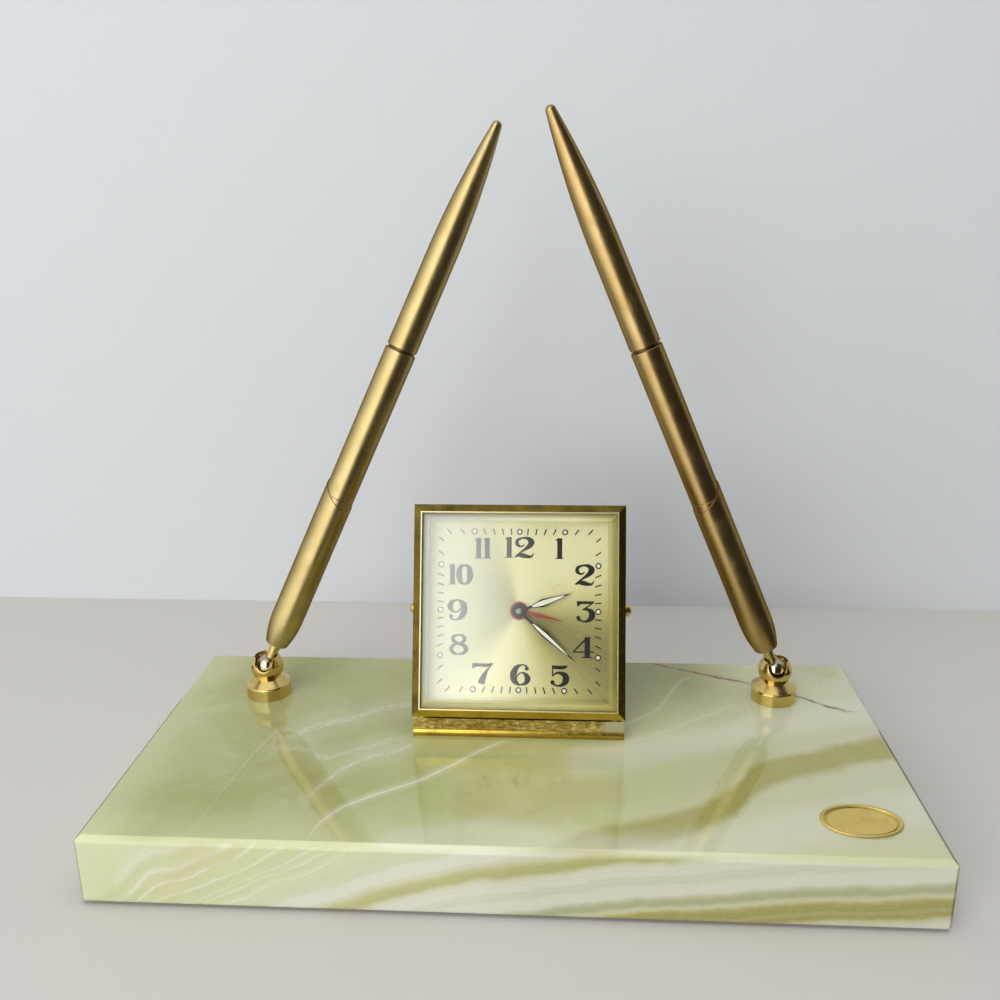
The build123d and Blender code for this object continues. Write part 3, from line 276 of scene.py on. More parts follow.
def stone_sides(g, place, x, y, z, wander):
    """Colour of the slab's sides: bands that rise to the right, cut by the front and the ends."""
    bend_length, bend_size, drift, dip, unrest = 55.0, 49.5, 0.3, 5.5, 3.0
    fall = g.math("MULTIPLY", g.math("EXPONENT", g.math("DIVIDE", x, -bend_length)), bend_size)
    bend = g.math("SUBTRACT", g.math("MULTIPLY_ADD", x, drift, bend_size), fall)
    depth = g.math("MULTIPLY", g.math("SUBTRACT", z, SLAB_TOP), dip)
    ripple = g.math("ADD", depth, g.math("MULTIPLY", wander, unrest))
    field = g.math("ADD", g.math("SUBTRACT", y, bend), ripple)
    share = g.span(field, FIELD_LOW, FIELD_HIGH)
    pale = srgb(218, 220, 180)
    colour = g.ramp(share, along([
        (-209, STONE_WHITE), (-202, STONE_CREAM), (-195, FRONT_OLIVE), (-172, FRONT_OLIVE),
        (-167, srgb(208, 206, 156)), (-163, STONE_CREAM), (-157, STONE_GREY), (-149, srgb(194, 197, 160)),
        (-142, STONE_WHITE), (-128, STONE_WHITE), (-121, srgb(214, 216, 194)), (-115, STONE_WHITE),
        (-99, STONE_WHITE), (-93, STONE_CREAM),
        (-86, srgb(188, 188, 126)), (-76, srgb(196, 197, 138)), (-69, STONE_CREAM), (-62, STONE_WHITE),
        (-50, STONE_WHITE), (-38, STONE_CREAM), (-10, pale), (60, srgb(210, 212, 164)), (160, pale),
        (280, srgb(218, 220, 186)),
    ], FIELD_LOW, FIELD_HIGH))
    strata = g.noise_line(field, 0.10, 2.0)
    shown = g.span(field, 30, -60)
    colour = g.mix(g.math("MULTIPLY", g.span(strata, 0.5, 0.7, 0.0, 0.14), shown), colour, STONE_WHITE)
    colour = g.mix(g.math("MULTIPLY", g.span(strata, 0.5, 0.32, 0.0, 0.22), shown), colour, STONE_GREY)

    wave_size, slant = 22.0, -1.75
    wave = g.math("MULTIPLY", g.math("SUBTRACT", g.noise(place, 0.05, 1.5), 0.5), wave_size)
    rising = g.math("ADD", g.math("MULTIPLY_ADD", z, slant, x), wave)
    low, high = -120.0, -40.0
    hairlines = g.ramp(g.span(rising, low, high), along(line_stops(FRONT_HAIRLINES, low), low, high))
    broken = g.span(g.noise(place, 0.12, 3.0), 0.34, 0.56)
    colour = g.mix(g.math("MULTIPLY", hairlines, broken), colour, VEIN_WHITE)
    streak = g.noise_line(rising, 0.11, 2.0)
    left = g.span(rising, -52, -62)
    return g.mix(g.math("MULTIPLY", g.span(streak, 0.5, 0.36, 0.0, 0.3), left), colour, srgb(196, 198, 140))


def stone_top(g, place, x, y, wander):
    """Colour of the slab's top: an olive glow on the left, pale clouds on the right, a painted shadow of the clock
    to its right and behind it, bands and veins.
    """
    colour = g.ramp(g.span(x, -HALF_WIDTH, HALF_WIDTH), along([
        (-HALF_WIDTH, srgb(188, 191, 140)), (-88, srgb(176, 179, 120)), (-70, srgb(168, 170, 104)),
        (-52, srgb(176, 179, 120)), (-30, srgb(186, 190, 132)), (0, srgb(196, 198, 138)),
        (35, srgb(202, 205, 156)), (60, srgb(206, 209, 170)), (HALF_WIDTH, srgb(206, 208, 182)),
    ], -HALF_WIDTH, HALF_WIDTH))
    left_edge = g.span(x, -84, -HALF_WIDTH, 0.0, 0.6, smooth=True)
    edge = g.math("ADD", g.span(y, -30, -49, smooth=True), left_edge)
    colour = g.mix(g.math("MULTIPLY", edge, 0.65, clamp=True), colour, srgb(214, 216, 170))
    # Painted shadow of the clock: a darker olive patch to the right of the clock and behind it
    right_of_clock = g.math("MULTIPLY", g.span(x, 0, 30), g.span(x, 70, 50))
    back = g.math("MULTIPLY", g.span(y, 0, 40, smooth=True), right_of_clock)
    clouds = g.noise(place, 0.03, 5.0, 0.6, 0.8)
    colour = g.mix(g.span(clouds, 0.48, 0.72, 0.0, 0.45), colour, srgb(206, 209, 174))
    colour = g.mix(g.span(clouds, 0.46, 0.28, 0.0, 0.4), colour, srgb(164, 166, 98))
    colour = g.mix(g.math("MULTIPLY", back, 0.85), colour, srgb(144, 149, 96))
    for points, half, soft, tint, strength in TOP_BANDS:
        inside = near_line(g, x, y, points, half, soft, wander)
        colour = g.mix(g.math("MULTIPLY", inside, strength), colour, tint)
    speckle = g.span(g.noise(place, 1.1, 3.0, 0.7), 0.40, 0.60)
    thin = g.math("MULTIPLY", wander, 0.35)
    for points, half, strength, speckled in TOP_VEINS:
        inside = near_line(g, x, y, points, half * 0.3, half, thin)
        haze = near_line(g, x, y, points, half, half * 5, thin)
        broken = g.span(speckle, 0.0, 1.0, 1.0 - speckled, 1.0)
        colour = g.mix(g.math("MULTIPLY", haze, strength * 0.42), colour, STONE_WHITE)
        shown = g.math("MULTIPLY", g.math("MULTIPLY", inside, broken), strength)
        colour = g.mix(shown, colour, VEIN_WHITE)
    return colour


def onyx_material():
    g = Graph("onyx_polished")
    place = g.place_mm()
    x, y, z = g.split(place)
    broad = g.math("MULTIPLY", g.math("SUBTRACT", g.noise(place, 0.03, 2.0), 0.5), 9.0)
    local = g.math("MULTIPLY", g.math("SUBTRACT", g.noise(place, 0.14, 4.0, 0.6), 0.5), 4.5)
    wander = g.math("ADD", broad, local)
    on_top = g.span(z, 16.9, 18.2, smooth=True)
    # The sides get their painted shade here, about 10% darker than the top.
    sides = g.mix(1.0, stone_sides(g, place, x, y, z, wander), SIDE_PAINTED_SHADE, "MULTIPLY")
    colour = g.mix(on_top, sides, stone_top(g, place, x, y, wander))
    veil = g.noise(place, 0.35, 5.0, 0.7, 0.5)
    colour = g.mix(g.span(veil, 0.5, 0.72, 0.0, 0.11), colour, STONE_WHITE)
    grain = g.noise(place, 0.9, 4.0, 0.65)
    colour = g.mix(g.span(grain, 0.35, 0.65, 0.06, 0.0), colour, srgb(150, 150, 100))

    shiver = g.math("MULTIPLY", g.math("SUBTRACT", g.noise(place, 0.4, 3.0), 0.5), 2.4)
    crack = near_line(g, x, y, CRACK, 0.13, 0.3, shiver)
    stain = near_line(g, x, y, CRACK, 0.3, 1.6, shiver)
    broken = g.span(g.noise(place, 0.22, 2.0), 0.36, 0.52, 0.25, 1.0)
    colour = g.mix(g.math("MULTIPLY", g.math("MULTIPLY", stain, broken), 0.5), colour, srgb(158, 116, 98))
    colour = g.mix(g.math("MULTIPLY", crack, broken), colour, srgb(84, 34, 30))

    colour = g.mix(1.0, colour, STONE_SHADE, "MULTIPLY")

    wear = g.noise(place, 0.5, 4.0, 0.7)
    roughness = g.span(wear, 0.3, 0.75, 0.02, 0.07)
    normal = g.bump(g.math("SUBTRACT", g.noise(place, 0.25, 2.0), crack), 0.05, 0.0004, g.bevel(0.0005))
    return g.surface(g.principled(
        Base_Color=colour, Roughness=roughness, Normal=normal, IOR=1.62,
        Subsurface_Weight=0.2, Subsurface_Radius=(0.006, 0.0055, 0.0035), Subsurface_Scale=1.0,
    ))


# Metals: worn brass in several finishes, chrome and steel

EDGE_RADIUS = 0.0002
GRAIN_DEPTH = 0.0002


def metal_shader(g, place, light, dark, roughness, spread, grime=None, stained=0.6, specks=0.0,
                 brushed=None, grain=0.03, edge_tint=(1, 1, 1, 1)):
    """A metal whose colour and gloss wander; grime is a stain colour, brushed stretches the grain."""
    tone = g.noise(place, 0.09, 4.0, 0.6)
    colour = g.mix(g.span(tone, 0.3, 0.7), light, dark)
    grain_place = place
    if brushed:
        grain_place = g.vector("MULTIPLY", place, brushed)
    uneven = g.noise(grain_place, 0.35, 4.0, 0.6)
    rough = g.span(uneven, 0.3, 0.7, roughness - spread, roughness + spread)
    fine = g.noise(grain_place, 2.4, 4.0, 0.7)
    if grime is not None:
        stain = g.span(g.noise(place, 0.16, 5.0, 0.65), 0.5, 0.68)
        patch = g.math("MULTIPLY", stain, g.span(fine, 0.35, 0.6))
        colour = g.mix(g.math("MULTIPLY", patch, stained), colour, grime)
        rough = g.math("MULTIPLY_ADD", patch, 0.18, rough)
    if specks:
        pits = g.span(g.cells(place, 1.1), 0.10, 0.2, 1.0, 0.0)
        pits = g.math("MULTIPLY", pits, g.span(g.noise(place, 0.5, 3.0), 0.56, 0.66))
        pits = g.math("MULTIPLY", pits, specks)
        colour = g.mix(pits, colour, grime or dark)
        rough = g.math("MULTIPLY_ADD", pits, 0.3, rough)
    normal = g.bump(fine, grain, GRAIN_DEPTH, g.bevel(EDGE_RADIUS))
    return g.principled(
        Base_Color=colour, Metallic=1.0, Roughness=rough, Normal=normal, Specular_Tint=edge_tint,
    )


def metal(name, light, dark, roughness, spread, **wear):
    g = Graph(name)
    return g.surface(metal_shader(g, g.place_mm(), light, dark, roughness, spread, **wear))


def blended(g, factor, first, second):
    node = g.node("ShaderNodeMixShader")
    g.put(node.inputs[0], factor)
    g.put(node.inputs[1], first)
    g.put(node.inputs[2], second)
    return node.outputs[0]


def ball_material():
    """Chrome on the balls, pale brass on their stems; each ball is found by its swivel's place."""
    g = Graph("ball_chrome")
    place = g.place_mm()
    away = [
        g.vector("DISTANCE", place, tuple(Vector(joints[name]["pos_m"]) / MM))
        for name in ("left_swivel_lean", "right_swivel_lean")
    ]
    ball_end, stem_start = 3.4, 3.6
    on_stem = g.span(g.math("MINIMUM", *away), ball_end, stem_start)
    chrome = metal_shader(
        g, place, srgb(206, 200, 188), srgb(176, 166, 140), 0.1, 0.05, grime=srgb(110, 86, 50),
    )
    stem = metal_shader(
        g, place, srgb(226, 206, 146), srgb(204, 178, 112), 0.18, 0.06, grime=srgb(140, 110, 60),
    )
    return g.surface(blended(g, on_stem, chrome, stem))


def clock_offsets(g, place, origin):
    """The way from a point of the clock in mm: as a vector, across the dial and up the dial."""
    offset = g.vector("SUBTRACT", place, tuple(origin / MM))
    across = g.vector("DOT_PRODUCT", offset, tuple(clock_right))
    upward = g.vector("DOT_PRODUCT", offset, tuple(clock_up))
    return offset, across, upward


def bezel_material():
    """Gold bars, tarnished brown by side as painted shade: most on the top and the left, less on the right and
    hardly at the bottom; the front crest carries a pale painted highlight.
    """
    g = Graph("bezel_gold_tarnish_and_shade")
    place = g.place_mm()
    offset, across, upward = clock_offsets(g, place, pivot)
    past_mitre = g.math("SUBTRACT", g.math("ABSOLUTE", across), g.math("ABSOLUTE", upward))
    # Painted shade: the brown is laid on most at the top and the left, less at the right and hardly at the bottom
    on_side = g.span(past_mitre, -0.2, 0.2)
    beside = g.span(across, -1, 1, 0.95, 0.45)
    above = g.span(upward, -1, 1, 0.0, 0.97)
    tarnish_and_shade = g.mix(on_side, above, beside)
    worn = g.span(g.noise(place, 0.22, 5.0, 0.65), 0.3, 0.62, 1.0, 0.8)
    gold = metal_shader(
        g, place, srgb(206, 180, 74), srgb(184, 156, 56), 0.22, 0.08, grime=BROWN, specks=0.7,
    )
    brown = metal_shader(
        g, place, srgb(88, 74, 40), srgb(68, 56, 31), 0.34, 0.06, grime=srgb(54, 42, 24), specks=0.7,
    )
    bars = blended(g, g.math("MULTIPLY", tarnish_and_shade, worn), gold, brown)
    ahead = g.math("MULTIPLY", g.vector("DOT_PRODUCT", offset, tuple(clock_back)), -1.0)
    crest_front = -front_of("bezel")
    # Painted highlight: a pale line along the bezel's front crest, all around
    crest = g.span(ahead, crest_front - 0.05, crest_front - 0.02, 0.0, 0.7)
    painted_crest_highlight = g.principled(Base_Color=srgb(226, 214, 158), Metallic=0.7, Roughness=0.3)
    return g.surface(blended(g, crest, bars, painted_crest_highlight))


def yoke_material():
    """Gold plating, worn to pale flakes over brown along the flat strip above the front bead."""
    g = Graph("yoke_gold_worn")
    place = g.place_mm()
    x, y, z = g.split(place)
    gold = metal_shader(
        g, place, srgb(214, 184, 84), srgb(186, 154, 62), 0.2, 0.07, grime=BROWN, specks=0.5,
    )
    flake = g.noise(g.vector("MULTIPLY", place, (0.7, 1.6, 1.6)), 0.9, 6.0, 0.75)
    patchy = g.math("MULTIPLY_ADD", g.math("SUBTRACT", g.noise(place, 0.13, 2.0), 0.5), 0.35, flake)
    silver_start, silver_full = 23.0, 25.5
    silver = g.span(x, silver_start, silver_full, smooth=True)
    rough_gold = g.ramp(patchy, [
        (0.34, srgb(112, 86, 34)), (0.45, srgb(150, 126, 54)), (0.54, srgb(174, 152, 76)),
        (0.62, srgb(210, 196, 136)),
    ])
    tint = g.mix(silver, rough_gold, srgb(180, 178, 144))
    normal = g.bump(flake, 0.4, 0.0005)
    pitted = g.principled(Base_Color=tint, Metallic=0.75, Roughness=0.5, Normal=normal)
    strip = g.math("MULTIPLY", g.span(z, 20.7, 21.0), g.span(y, 0.9, 0.5))
    return g.surface(blended(g, strip, gold, pitted))


def plain(name, light, dark, roughness, spread):
    """Paint or plastic: two close tones, with a fine grain in its gloss and its surface."""
    g = Graph(name)
    scale = 0.3
    place = g.place_mm()
    colour = g.mix(g.span(g.noise(place, scale, 4.0, 0.6), 0.3, 0.7), light, dark)
    fine = g.noise(place, scale * 6, 4.0, 0.7)
    rough = g.span(fine, 0.3, 0.7, roughness - spread, roughness + spread)
    return g.surface(g.principled(Base_Color=colour, Roughness=rough, Normal=g.bump(fine, 0.1, 0.0001)))


def dial_material():
    """Champagne sunburst, brushed outward from the centre, with painted highlights in two fans and painted shade
    between them, and greyer on the left as painted shade.
    """
    g = Graph("dial_sunburst")
    place = g.place_mm()
    _, across, upward = clock_offsets(g, place, clock_point(0, -dial_front, 0))
    turn = g.math("ARCTAN2", upward, across)
    rays = g.noise_line(turn, 46.0, 4.0)
    # Painted highlight and shade: the colour is pale in two fans and dark between them, standing in for the
    # sunburst's reflections
    highlight_turn = math.radians(62)
    fan_highlight = g.math("COSINE", g.math("MULTIPLY", g.math("SUBTRACT", turn, highlight_turn), 2.0))
    colour = g.ramp(g.span(fan_highlight, -1, 1), [
        (0.0, srgb(130, 125, 78)), (0.25, srgb(190, 184, 126)), (0.6, srgb(222, 219, 172)),
        (1.0, srgb(228, 227, 188)),
    ])
    # Painted shade: the left of the dial is greyer
    shade_turn = math.radians(170)
    toward_shade = g.math("COSINE", g.math("SUBTRACT", turn, shade_turn))
    left_shade_share = g.span(toward_shade, 0.15, 0.75, 0.0, 0.95, smooth=True)
    colour = g.mix(left_shade_share, colour, srgb(172, 175, 146))
    colour = g.mix(g.span(rays, 0.3, 0.7, 0.0, 0.25), colour, srgb(206, 196, 136))
    stain = g.noise(place, 0.12, 5.0, 0.65)
    colour = g.mix(g.span(stain, 0.58, 0.78, 0.0, 0.3), colour, srgb(196, 178, 120))
    fleck = g.span(g.cells(place, 0.35), 0.06, 0.12, 0.4, 0.0)
    colour = g.mix(g.math("MULTIPLY", fleck, g.span(stain, 0.5, 0.6)), colour, srgb(150, 128, 76))
    tangent = g.node("ShaderNodeTangent", direction_type="RADIAL", axis="Y")
    rough = g.span(rays, 0.3, 0.7, 0.42, 0.52)
    normal = g.bump(g.noise(place, 3.0, 3.0), 0.02, 0.0001)
    return g.surface(g.principled(
        Base_Color=colour, Metallic=0.12, Roughness=rough, Normal=normal, Anisotropic=0.8,
        Tangent=tangent.outputs[0],
    ))


def lens_material():
    """Clear moulded plastic that mirrors a little, with a painted reflection on its bevelled border, whiter on the
    left and yellower on the right and at the bottom.
    """
    g = Graph("lens_clear")
    place = g.place_mm()
    haze = g.span(g.noise(place, 0.8, 5.0, 0.7), 0.5, 0.75, 0.02, 0.10)
    gloss = g.node("ShaderNodeBsdfGlossy")
    g.put(gloss.inputs["Color"], (0.97, 0.98, 0.96, 1))
    g.put(gloss.inputs["Roughness"], haze)
    clear = g.node("ShaderNodeBsdfTransparent")
    g.put(clear.inputs["Color"], (0.985, 0.985, 0.97, 1))
    edge_on = g.node("ShaderNodeLayerWeight").outputs["Facing"]
    straight_share = 0.08
    mirrored = g.math("MULTIPLY_ADD", g.math("POWER", edge_on, 5.0), 1 - straight_share, straight_share)
    facing = g.node("ShaderNodeNewGeometry").outputs["Normal"]
    square = g.math("ABSOLUTE", g.vector("DOT_PRODUCT", facing, tuple(clock_back)))
    border = g.math("MULTIPLY", g.span(square, 0.95, 0.85), g.span(square, 0.2, 0.4))
    _, across, upward = clock_offsets(g, place, pivot)
    # Painted reflection on the bevelled border: a pale tint, whiter on the left and yellower on the right and at
    # the bottom
    half_lens = 26
    tint = g.ramp(g.span(across, -half_lens, half_lens), [
        (0.0, srgb(236, 238, 230)), (0.3, srgb(246, 246, 222)), (0.8, srgb(244, 240, 190)),
        (1.0, srgb(206, 196, 110)),
    ])
    tint = g.mix(g.span(upward, -20, -25, 0.0, 0.6), tint, srgb(232, 222, 142))
    border_reflection = g.principled(Base_Color=tint, Roughness=0.2, Specular_IOR_Level=0.8)
    pane = blended(g, mirrored, clear.outputs[0], gloss.outputs[0])
    border_reflection_share = 0.42
    return g.surface(blended(g, g.math("MULTIPLY", border, border_reflection_share), pane, border_reflection))


def felt_material():
    g = Graph("felt_green")
    place = g.place_mm()
    fibres = g.noise(place, 2.2, 5.0, 0.75, 1.4)
    colour = g.mix(g.span(fibres, 0.3, 0.7), srgb(34, 62, 42), srgb(62, 96, 66))
    colour = g.mix(g.span(g.noise(place, 0.08, 3.0), 0.4, 0.7, 0.0, 0.4), colour, srgb(44, 66, 46))
    normal = g.bump(fibres, 0.6, 0.0004)
    return g.surface(g.principled(
        Base_Color=colour, Roughness=0.95, Normal=normal, Sheen_Weight=0.4, Sheen_Roughness=0.5,
    ))


# The clock's own axes

pivot = Vector(joints["clock_tilt"]["pos_m"])
clock_right = Vector((1, 0, 0))
clock_back = Vector(joints["time_set_turn"]["axis"]).normalized()
clock_up = clock_back.cross(Vector((-1, 0, 0)))
# How far the dial's face lies ahead of the pivot, in mm
dial_front = 7.0


def clock_point(x, y, z):
    """A point given in mm from the pivot: across, towards the back, and up the dial."""
    return pivot + (clock_right * x + clock_back * y + clock_up * z) * MM


def new_piece(name, bm, body, material, smooth=False):
    mesh = bpy.data.meshes.new(name)
    bm.normal_update()
    bm.to_mesh(mesh)
    bm.free()
    for face in mesh.polygons:
        face.use_smooth = smooth
    piece = bpy.data.objects.new(name, mesh)
    bpy.context.scene.collection.objects.link(piece)
    mesh.materials.append(material)
    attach(piece, body)
    return piece


def raised(bm, outlines, place, thickness):
    """Adds the union of flat outlines as one raised sheet; place(x, y, height) gives each corner."""
    corners = []
    faces = []
    for outline in outlines:
        faces.append(list(range(len(corners), len(corners) + len(outline))))
        corners += [Vector(point) for point in outline]
    points, _, triangles, _, _, origins = delaunay_2d_cdt(corners, [], faces, 1, 1e-5)
    kept = [tri for tri, origin in zip(triangles, origins) if origin]
    low = [bm.verts.new(place(p.x, p.y, 0.0)) for p in points]
    high = [bm.verts.new(place(p.x, p.y, thickness)) for p in points]
    edges = {}
    for tri in kept:
        bm.faces.new([high[i] for i in tri])
        bm.faces.new([low[i] for i in reversed(tri)])
        for a, b in zip(tri, tri[1:] + tri[:1]):
            edges[(a, b)] = True
    for a, b in edges:
        if (b, a) not in edges:
            bm.faces.new([low[a], low[b], high[b], high[a]])
    bmesh.ops.delete(bm, geom=[v for v in bm.verts if not v.link_faces], context="VERTS")


STROKE_STEPS = 8


def curve_points(points):
    """A smooth line through the points; each has a place and a width."""
    ends = [points[0]] + list(points) + [points[-1]]
    line = []
    for i in range(len(points) - 1):
        a, b, c, d = (Vector(p) for p in ends[i:i + 4])
        for step in range(STROKE_STEPS):
            t = step / STROKE_STEPS
            line.append(0.5 * (2 * b + (c - a) * t + (2 * a - 5 * b + 4 * c - d) * t * t
                               + (3 * b - a - 3 * c + d) * t ** 3))
    line.append(Vector(points[-1]))
    return line


def ribbon(points):
    """Pieces of a stroke whose width changes along it, as short four-sided outlines."""
    line = curve_points(points)
    sides = []
    for i, point in enumerate(line):
        ahead = line[min(i + 1, len(line) - 1)]
        behind = line[max(i - 1, 0)]
        along = Vector((ahead.x - behind.x, ahead.y - behind.y)).normalized()
        out = Vector((-along.y, along.x)) * max(point.z, 0.02) * STROKE_WEIGHT / 2
        here = Vector((point.x, point.y))
        sides.append((here + out, here - out))
    return [[a[1], b[1], b[0], a[0]] for a, b in zip(sides, sides[1:])]


def disc(x, y, radius, count=20):
    return [
        (x + radius * math.cos(2 * math.pi * i / count), y + radius * math.sin(2 * math.pi * i / count))
        for i in range(count)
    ]


def bar(left, right, low, high):
    return [(left, low), (right, low), (right, high), (left, high)]


SIX = [
    [(.84, .80, .10), (.74, .94, .07), (.54, .97, .07), (.30, .84, .20), (.16, .54, .28), (.20, .24, .26),
     (.38, .05, .12), (.52, .025, .06)],
    [(.52, .025, .06), (.74, .10, .16), (.84, .31, .25), (.74, .52, .15), (.56, .60, .06), (.40, .52, .06),
     (.36, .40, .05)],
]
ZERO_LEFT = [(.40, .975, .06), (.20, .84, .18), (.13, .5, .25), (.20, .16, .18), (.40, .025, .06)]
# Each digit, one unit high: its width, its strokes as (x, y, width) and its filled outlines
DIGITS = {
    "0": (.80, [ZERO_LEFT, [(.80 - x, y, w) for x, y, w in ZERO_LEFT]], []),
    "1": (.40, [], [bar(.09, .33, 0, 1), bar(0, .40, 0, .045),
                    [(.12, 1), (.09, .97), (0, .90), (0, .87), (.09, .88), (.14, .88)]]),
    "2": (.98, [
        [(.47, .66, .05), (.42, .57, .06), (.27, .56, .10), (.14, .68, .16), (.18, .86, .13),
         (.42, .96, .08), (.68, .93, .16), (.83, .76, .26), (.72, .56, .20), (.45, .36, .10),
         (.18, .16, .06), (.05, .04, .05)],
        [(.05, .04, .06), (.22, .13, .14), (.45, .11, .20), (.68, .06, .14), (.86, .08, .08),
         (.95, .24, .03)],
    ], []),
    "3": (.93, [
        [(.88, .95, .05), (.62, .74, .06), (.40, .60, .06)],
        [(.36, .585, .05), (.60, .60, .12), (.80, .46, .24), (.80, .24, .26), (.62, .06, .14),
         (.38, .03, .07), (.14, .14, .12)],
    ], [[(.08, 1), (.10, .74), (.16, .74), (.30, .86), (.84, .86), (.92, .95), (.92, 1)],
        disc(.16, .20, .10)]),
    "4": (1.04, [[(.70, .985, .08), (.04, .32, .06)]],
          [bar(.56, .82, 0, 1), bar(0, 1.02, .25, .315), bar(.42, .96, 0, .055)]),
    "5": (.96, [
        [(.17, .48, .05), (.30, .60, .08), (.52, .64, .12), (.78, .50, .25), (.80, .26, .27),
         (.62, .06, .14), (.38, .03, .07), (.14, .15, .11)],
    ], [[(.16, 1), (.16, .80), (.22, .82), (.60, .80), (.80, .84), (.90, .97), (.90, 1), (.60, .985),
         (.30, .985)], bar(.14, .20, .46, 1), disc(.17, .19, .10)]),
    "6": (.98, SIX, [disc(.80, .80, .10)]),
    "7": (1.06, [[(.97, .97, .05), (.74, .68, .09), (.58, .40, .20), (.48, .16, .28), (.45, 0, .29)]],
          [[(0, .98), (0, .72), (.06, .72), (.12, .80), (.30, .83), (.66, .80), (.86, .86), (1, .95),
            (1.02, 1), (.92, 1), (.70, .97), (.30, .985), (.10, 1)]]),
    "8": (.96, [
        [(.48, .97, .06), (.26, .90, .12), (.19, .77, .15), (.28, .63, .15), (.48, .55, .13)],
        [(.48, .97, .06), (.70, .90, .12), (.77, .77, .15), (.68, .63, .12), (.48, .55, .08)],
        [(.48, .55, .13), (.74, .45, .17), (.84, .27, .19), (.72, .09, .13), (.48, .03, .06)],
        [(.48, .55, .08), (.22, .45, .13), (.12, .27, .18), (.24, .09, .13), (.48, .03, .06)],
    ], []),
    "9": (.98, [[(.98 - x, 1 - y, w) for x, y, w in stroke] for stroke in SIX], [disc(.18, .20, .10)]),
}
# Each numeral's middle on the dial, in mm across and up
NUMERALS = {
    "12": (0, 17.4), "1": (11, 17.2), "2": (17.9, 10), "3": (18, 0), "4": (17.8, -9.8), "5": (11.1, -17.6),
    "6": (.5, -17.5), "7": (-9.75, -17.3), "8": (-16.6, -9.5), "9": (-17.1, 0), "10": (-16.3, 9.8),
    "11": (-10.2, 17.1),
}
NUMERAL_GAPS = {"10": 0.0, "11": 0.02, "12": 0.05}
NUMERAL_HEIGHT = 5.7
STROKE_WEIGHT = 1.15
PRINT_THICKNESS = 0.04


def on_dial(x, z, height):
    return clock_point(x, -dial_front - height, z)


def numeral_outlines(text, middle_x, middle_z):
    gap = NUMERAL_GAPS.get(text, 0.0)
    width = sum(DIGITS[d][0] for d in text) + gap * (len(text) - 1)
    start = -width / 2
    shapes = []
    for digit in text:
        advance, strokes, fills = DIGITS[digit]
        outlines = [quad for stroke in strokes for quad in ribbon(stroke)] + fills
        for outline in outlines:
            shapes.append([
                (middle_x + (start + p[0]) * NUMERAL_HEIGHT, middle_z + (p[1] - 0.5) * NUMERAL_HEIGHT)
                for p in outline
            ])
        start += advance + gap
    return shapes


def dial_print(ink, white):
    bm = bmesh.new()
    for text, (x, z) in NUMERALS.items():
        raised(bm, numeral_outlines(text, x, z), on_dial, PRINT_THICKNESS)
    new_piece("dial_numerals", bm, "clock", ink)

    track_half = 21.7
    tick_length = 1.8
    tick_width = 0.34
    ring_radius = 0.84
    dot_radius = 0.5
    ticks = bmesh.new()
    rings = bmesh.new()
    dots = bmesh.new()
    for minute in range(60):
        angle = math.radians(6 * minute)
        out = Vector((math.sin(angle), math.cos(angle)))
        place = out * (track_half / max(abs(out.x), abs(out.y)))
        side = Vector((out.y, -out.x)) * tick_width / 2
        reach = out * tick_length / 2
        if minute % 5:
            low, high = place - reach, place + reach
            raised(ticks, [[low - side, low + side, high + side, high - side]], on_dial, PRINT_THICKNESS)
            continue
        circle = disc(0, 0, 1, 28)
        quads = []
        for a, b in zip(circle, circle[1:] + circle[:1]):
            inner = [place + Vector(p) * dot_radius for p in (a, b)]
            outer = [place + Vector(p) * ring_radius for p in (a, b)]
            quads.append([inner[0], outer[0], outer[1], inner[1]])
        raised(rings, quads, on_dial, PRINT_THICKNESS)
        raised(dots, [[place + Vector(p) * dot_radius for p in circle]], on_dial, PRINT_THICKNESS / 2)
    new_piece("minute_ticks", ticks, "clock", ink)
    new_piece("hour_rings", rings, "clock", ink)
    new_piece("hour_dots", dots, "clock", white)


def hand_inlay(name, body, angle_degrees, length, width, front, material):
    """The pale filling of a hand, a lozenge that leaves the hand's dark outline and tip."""
    border = 0.44
    start_share, wide_share, end_share = 0.25, 0.45, 0.86
    angle = math.radians(angle_degrees)
    along = Vector((math.sin(angle), math.cos(angle)))
    side = Vector((along.y, -along.x))
    half = width / 2 - border
    rows = [
        (start_share, half * 0.3), (0.5 * (start_share + wide_share), half * 0.8), (wide_share, half),
        (0.6, half * 0.85), (0.75, half * 0.5), (end_share, half * 0.12),
    ]
    left = [along * length * share + side * wide for share, wide in rows]
    right = [along * length * share - side * wide for share, wide in reversed(rows)]
    bm = bmesh.new()

    def on_hand(x, z, height):
        return clock_point(x, front - height, z)
    raised(bm, [left + right], on_hand, PRINT_THICKNESS)
    return new_piece(name, bm, body, material)


def front_of(name):
    """How far behind the pivot a clock node's front face lies, in mm; ahead of it is negative."""
    return min((v.co - pivot).dot(clock_back) for v in nodes[name].data.vertices) / MM


# The felt sheet under the slab

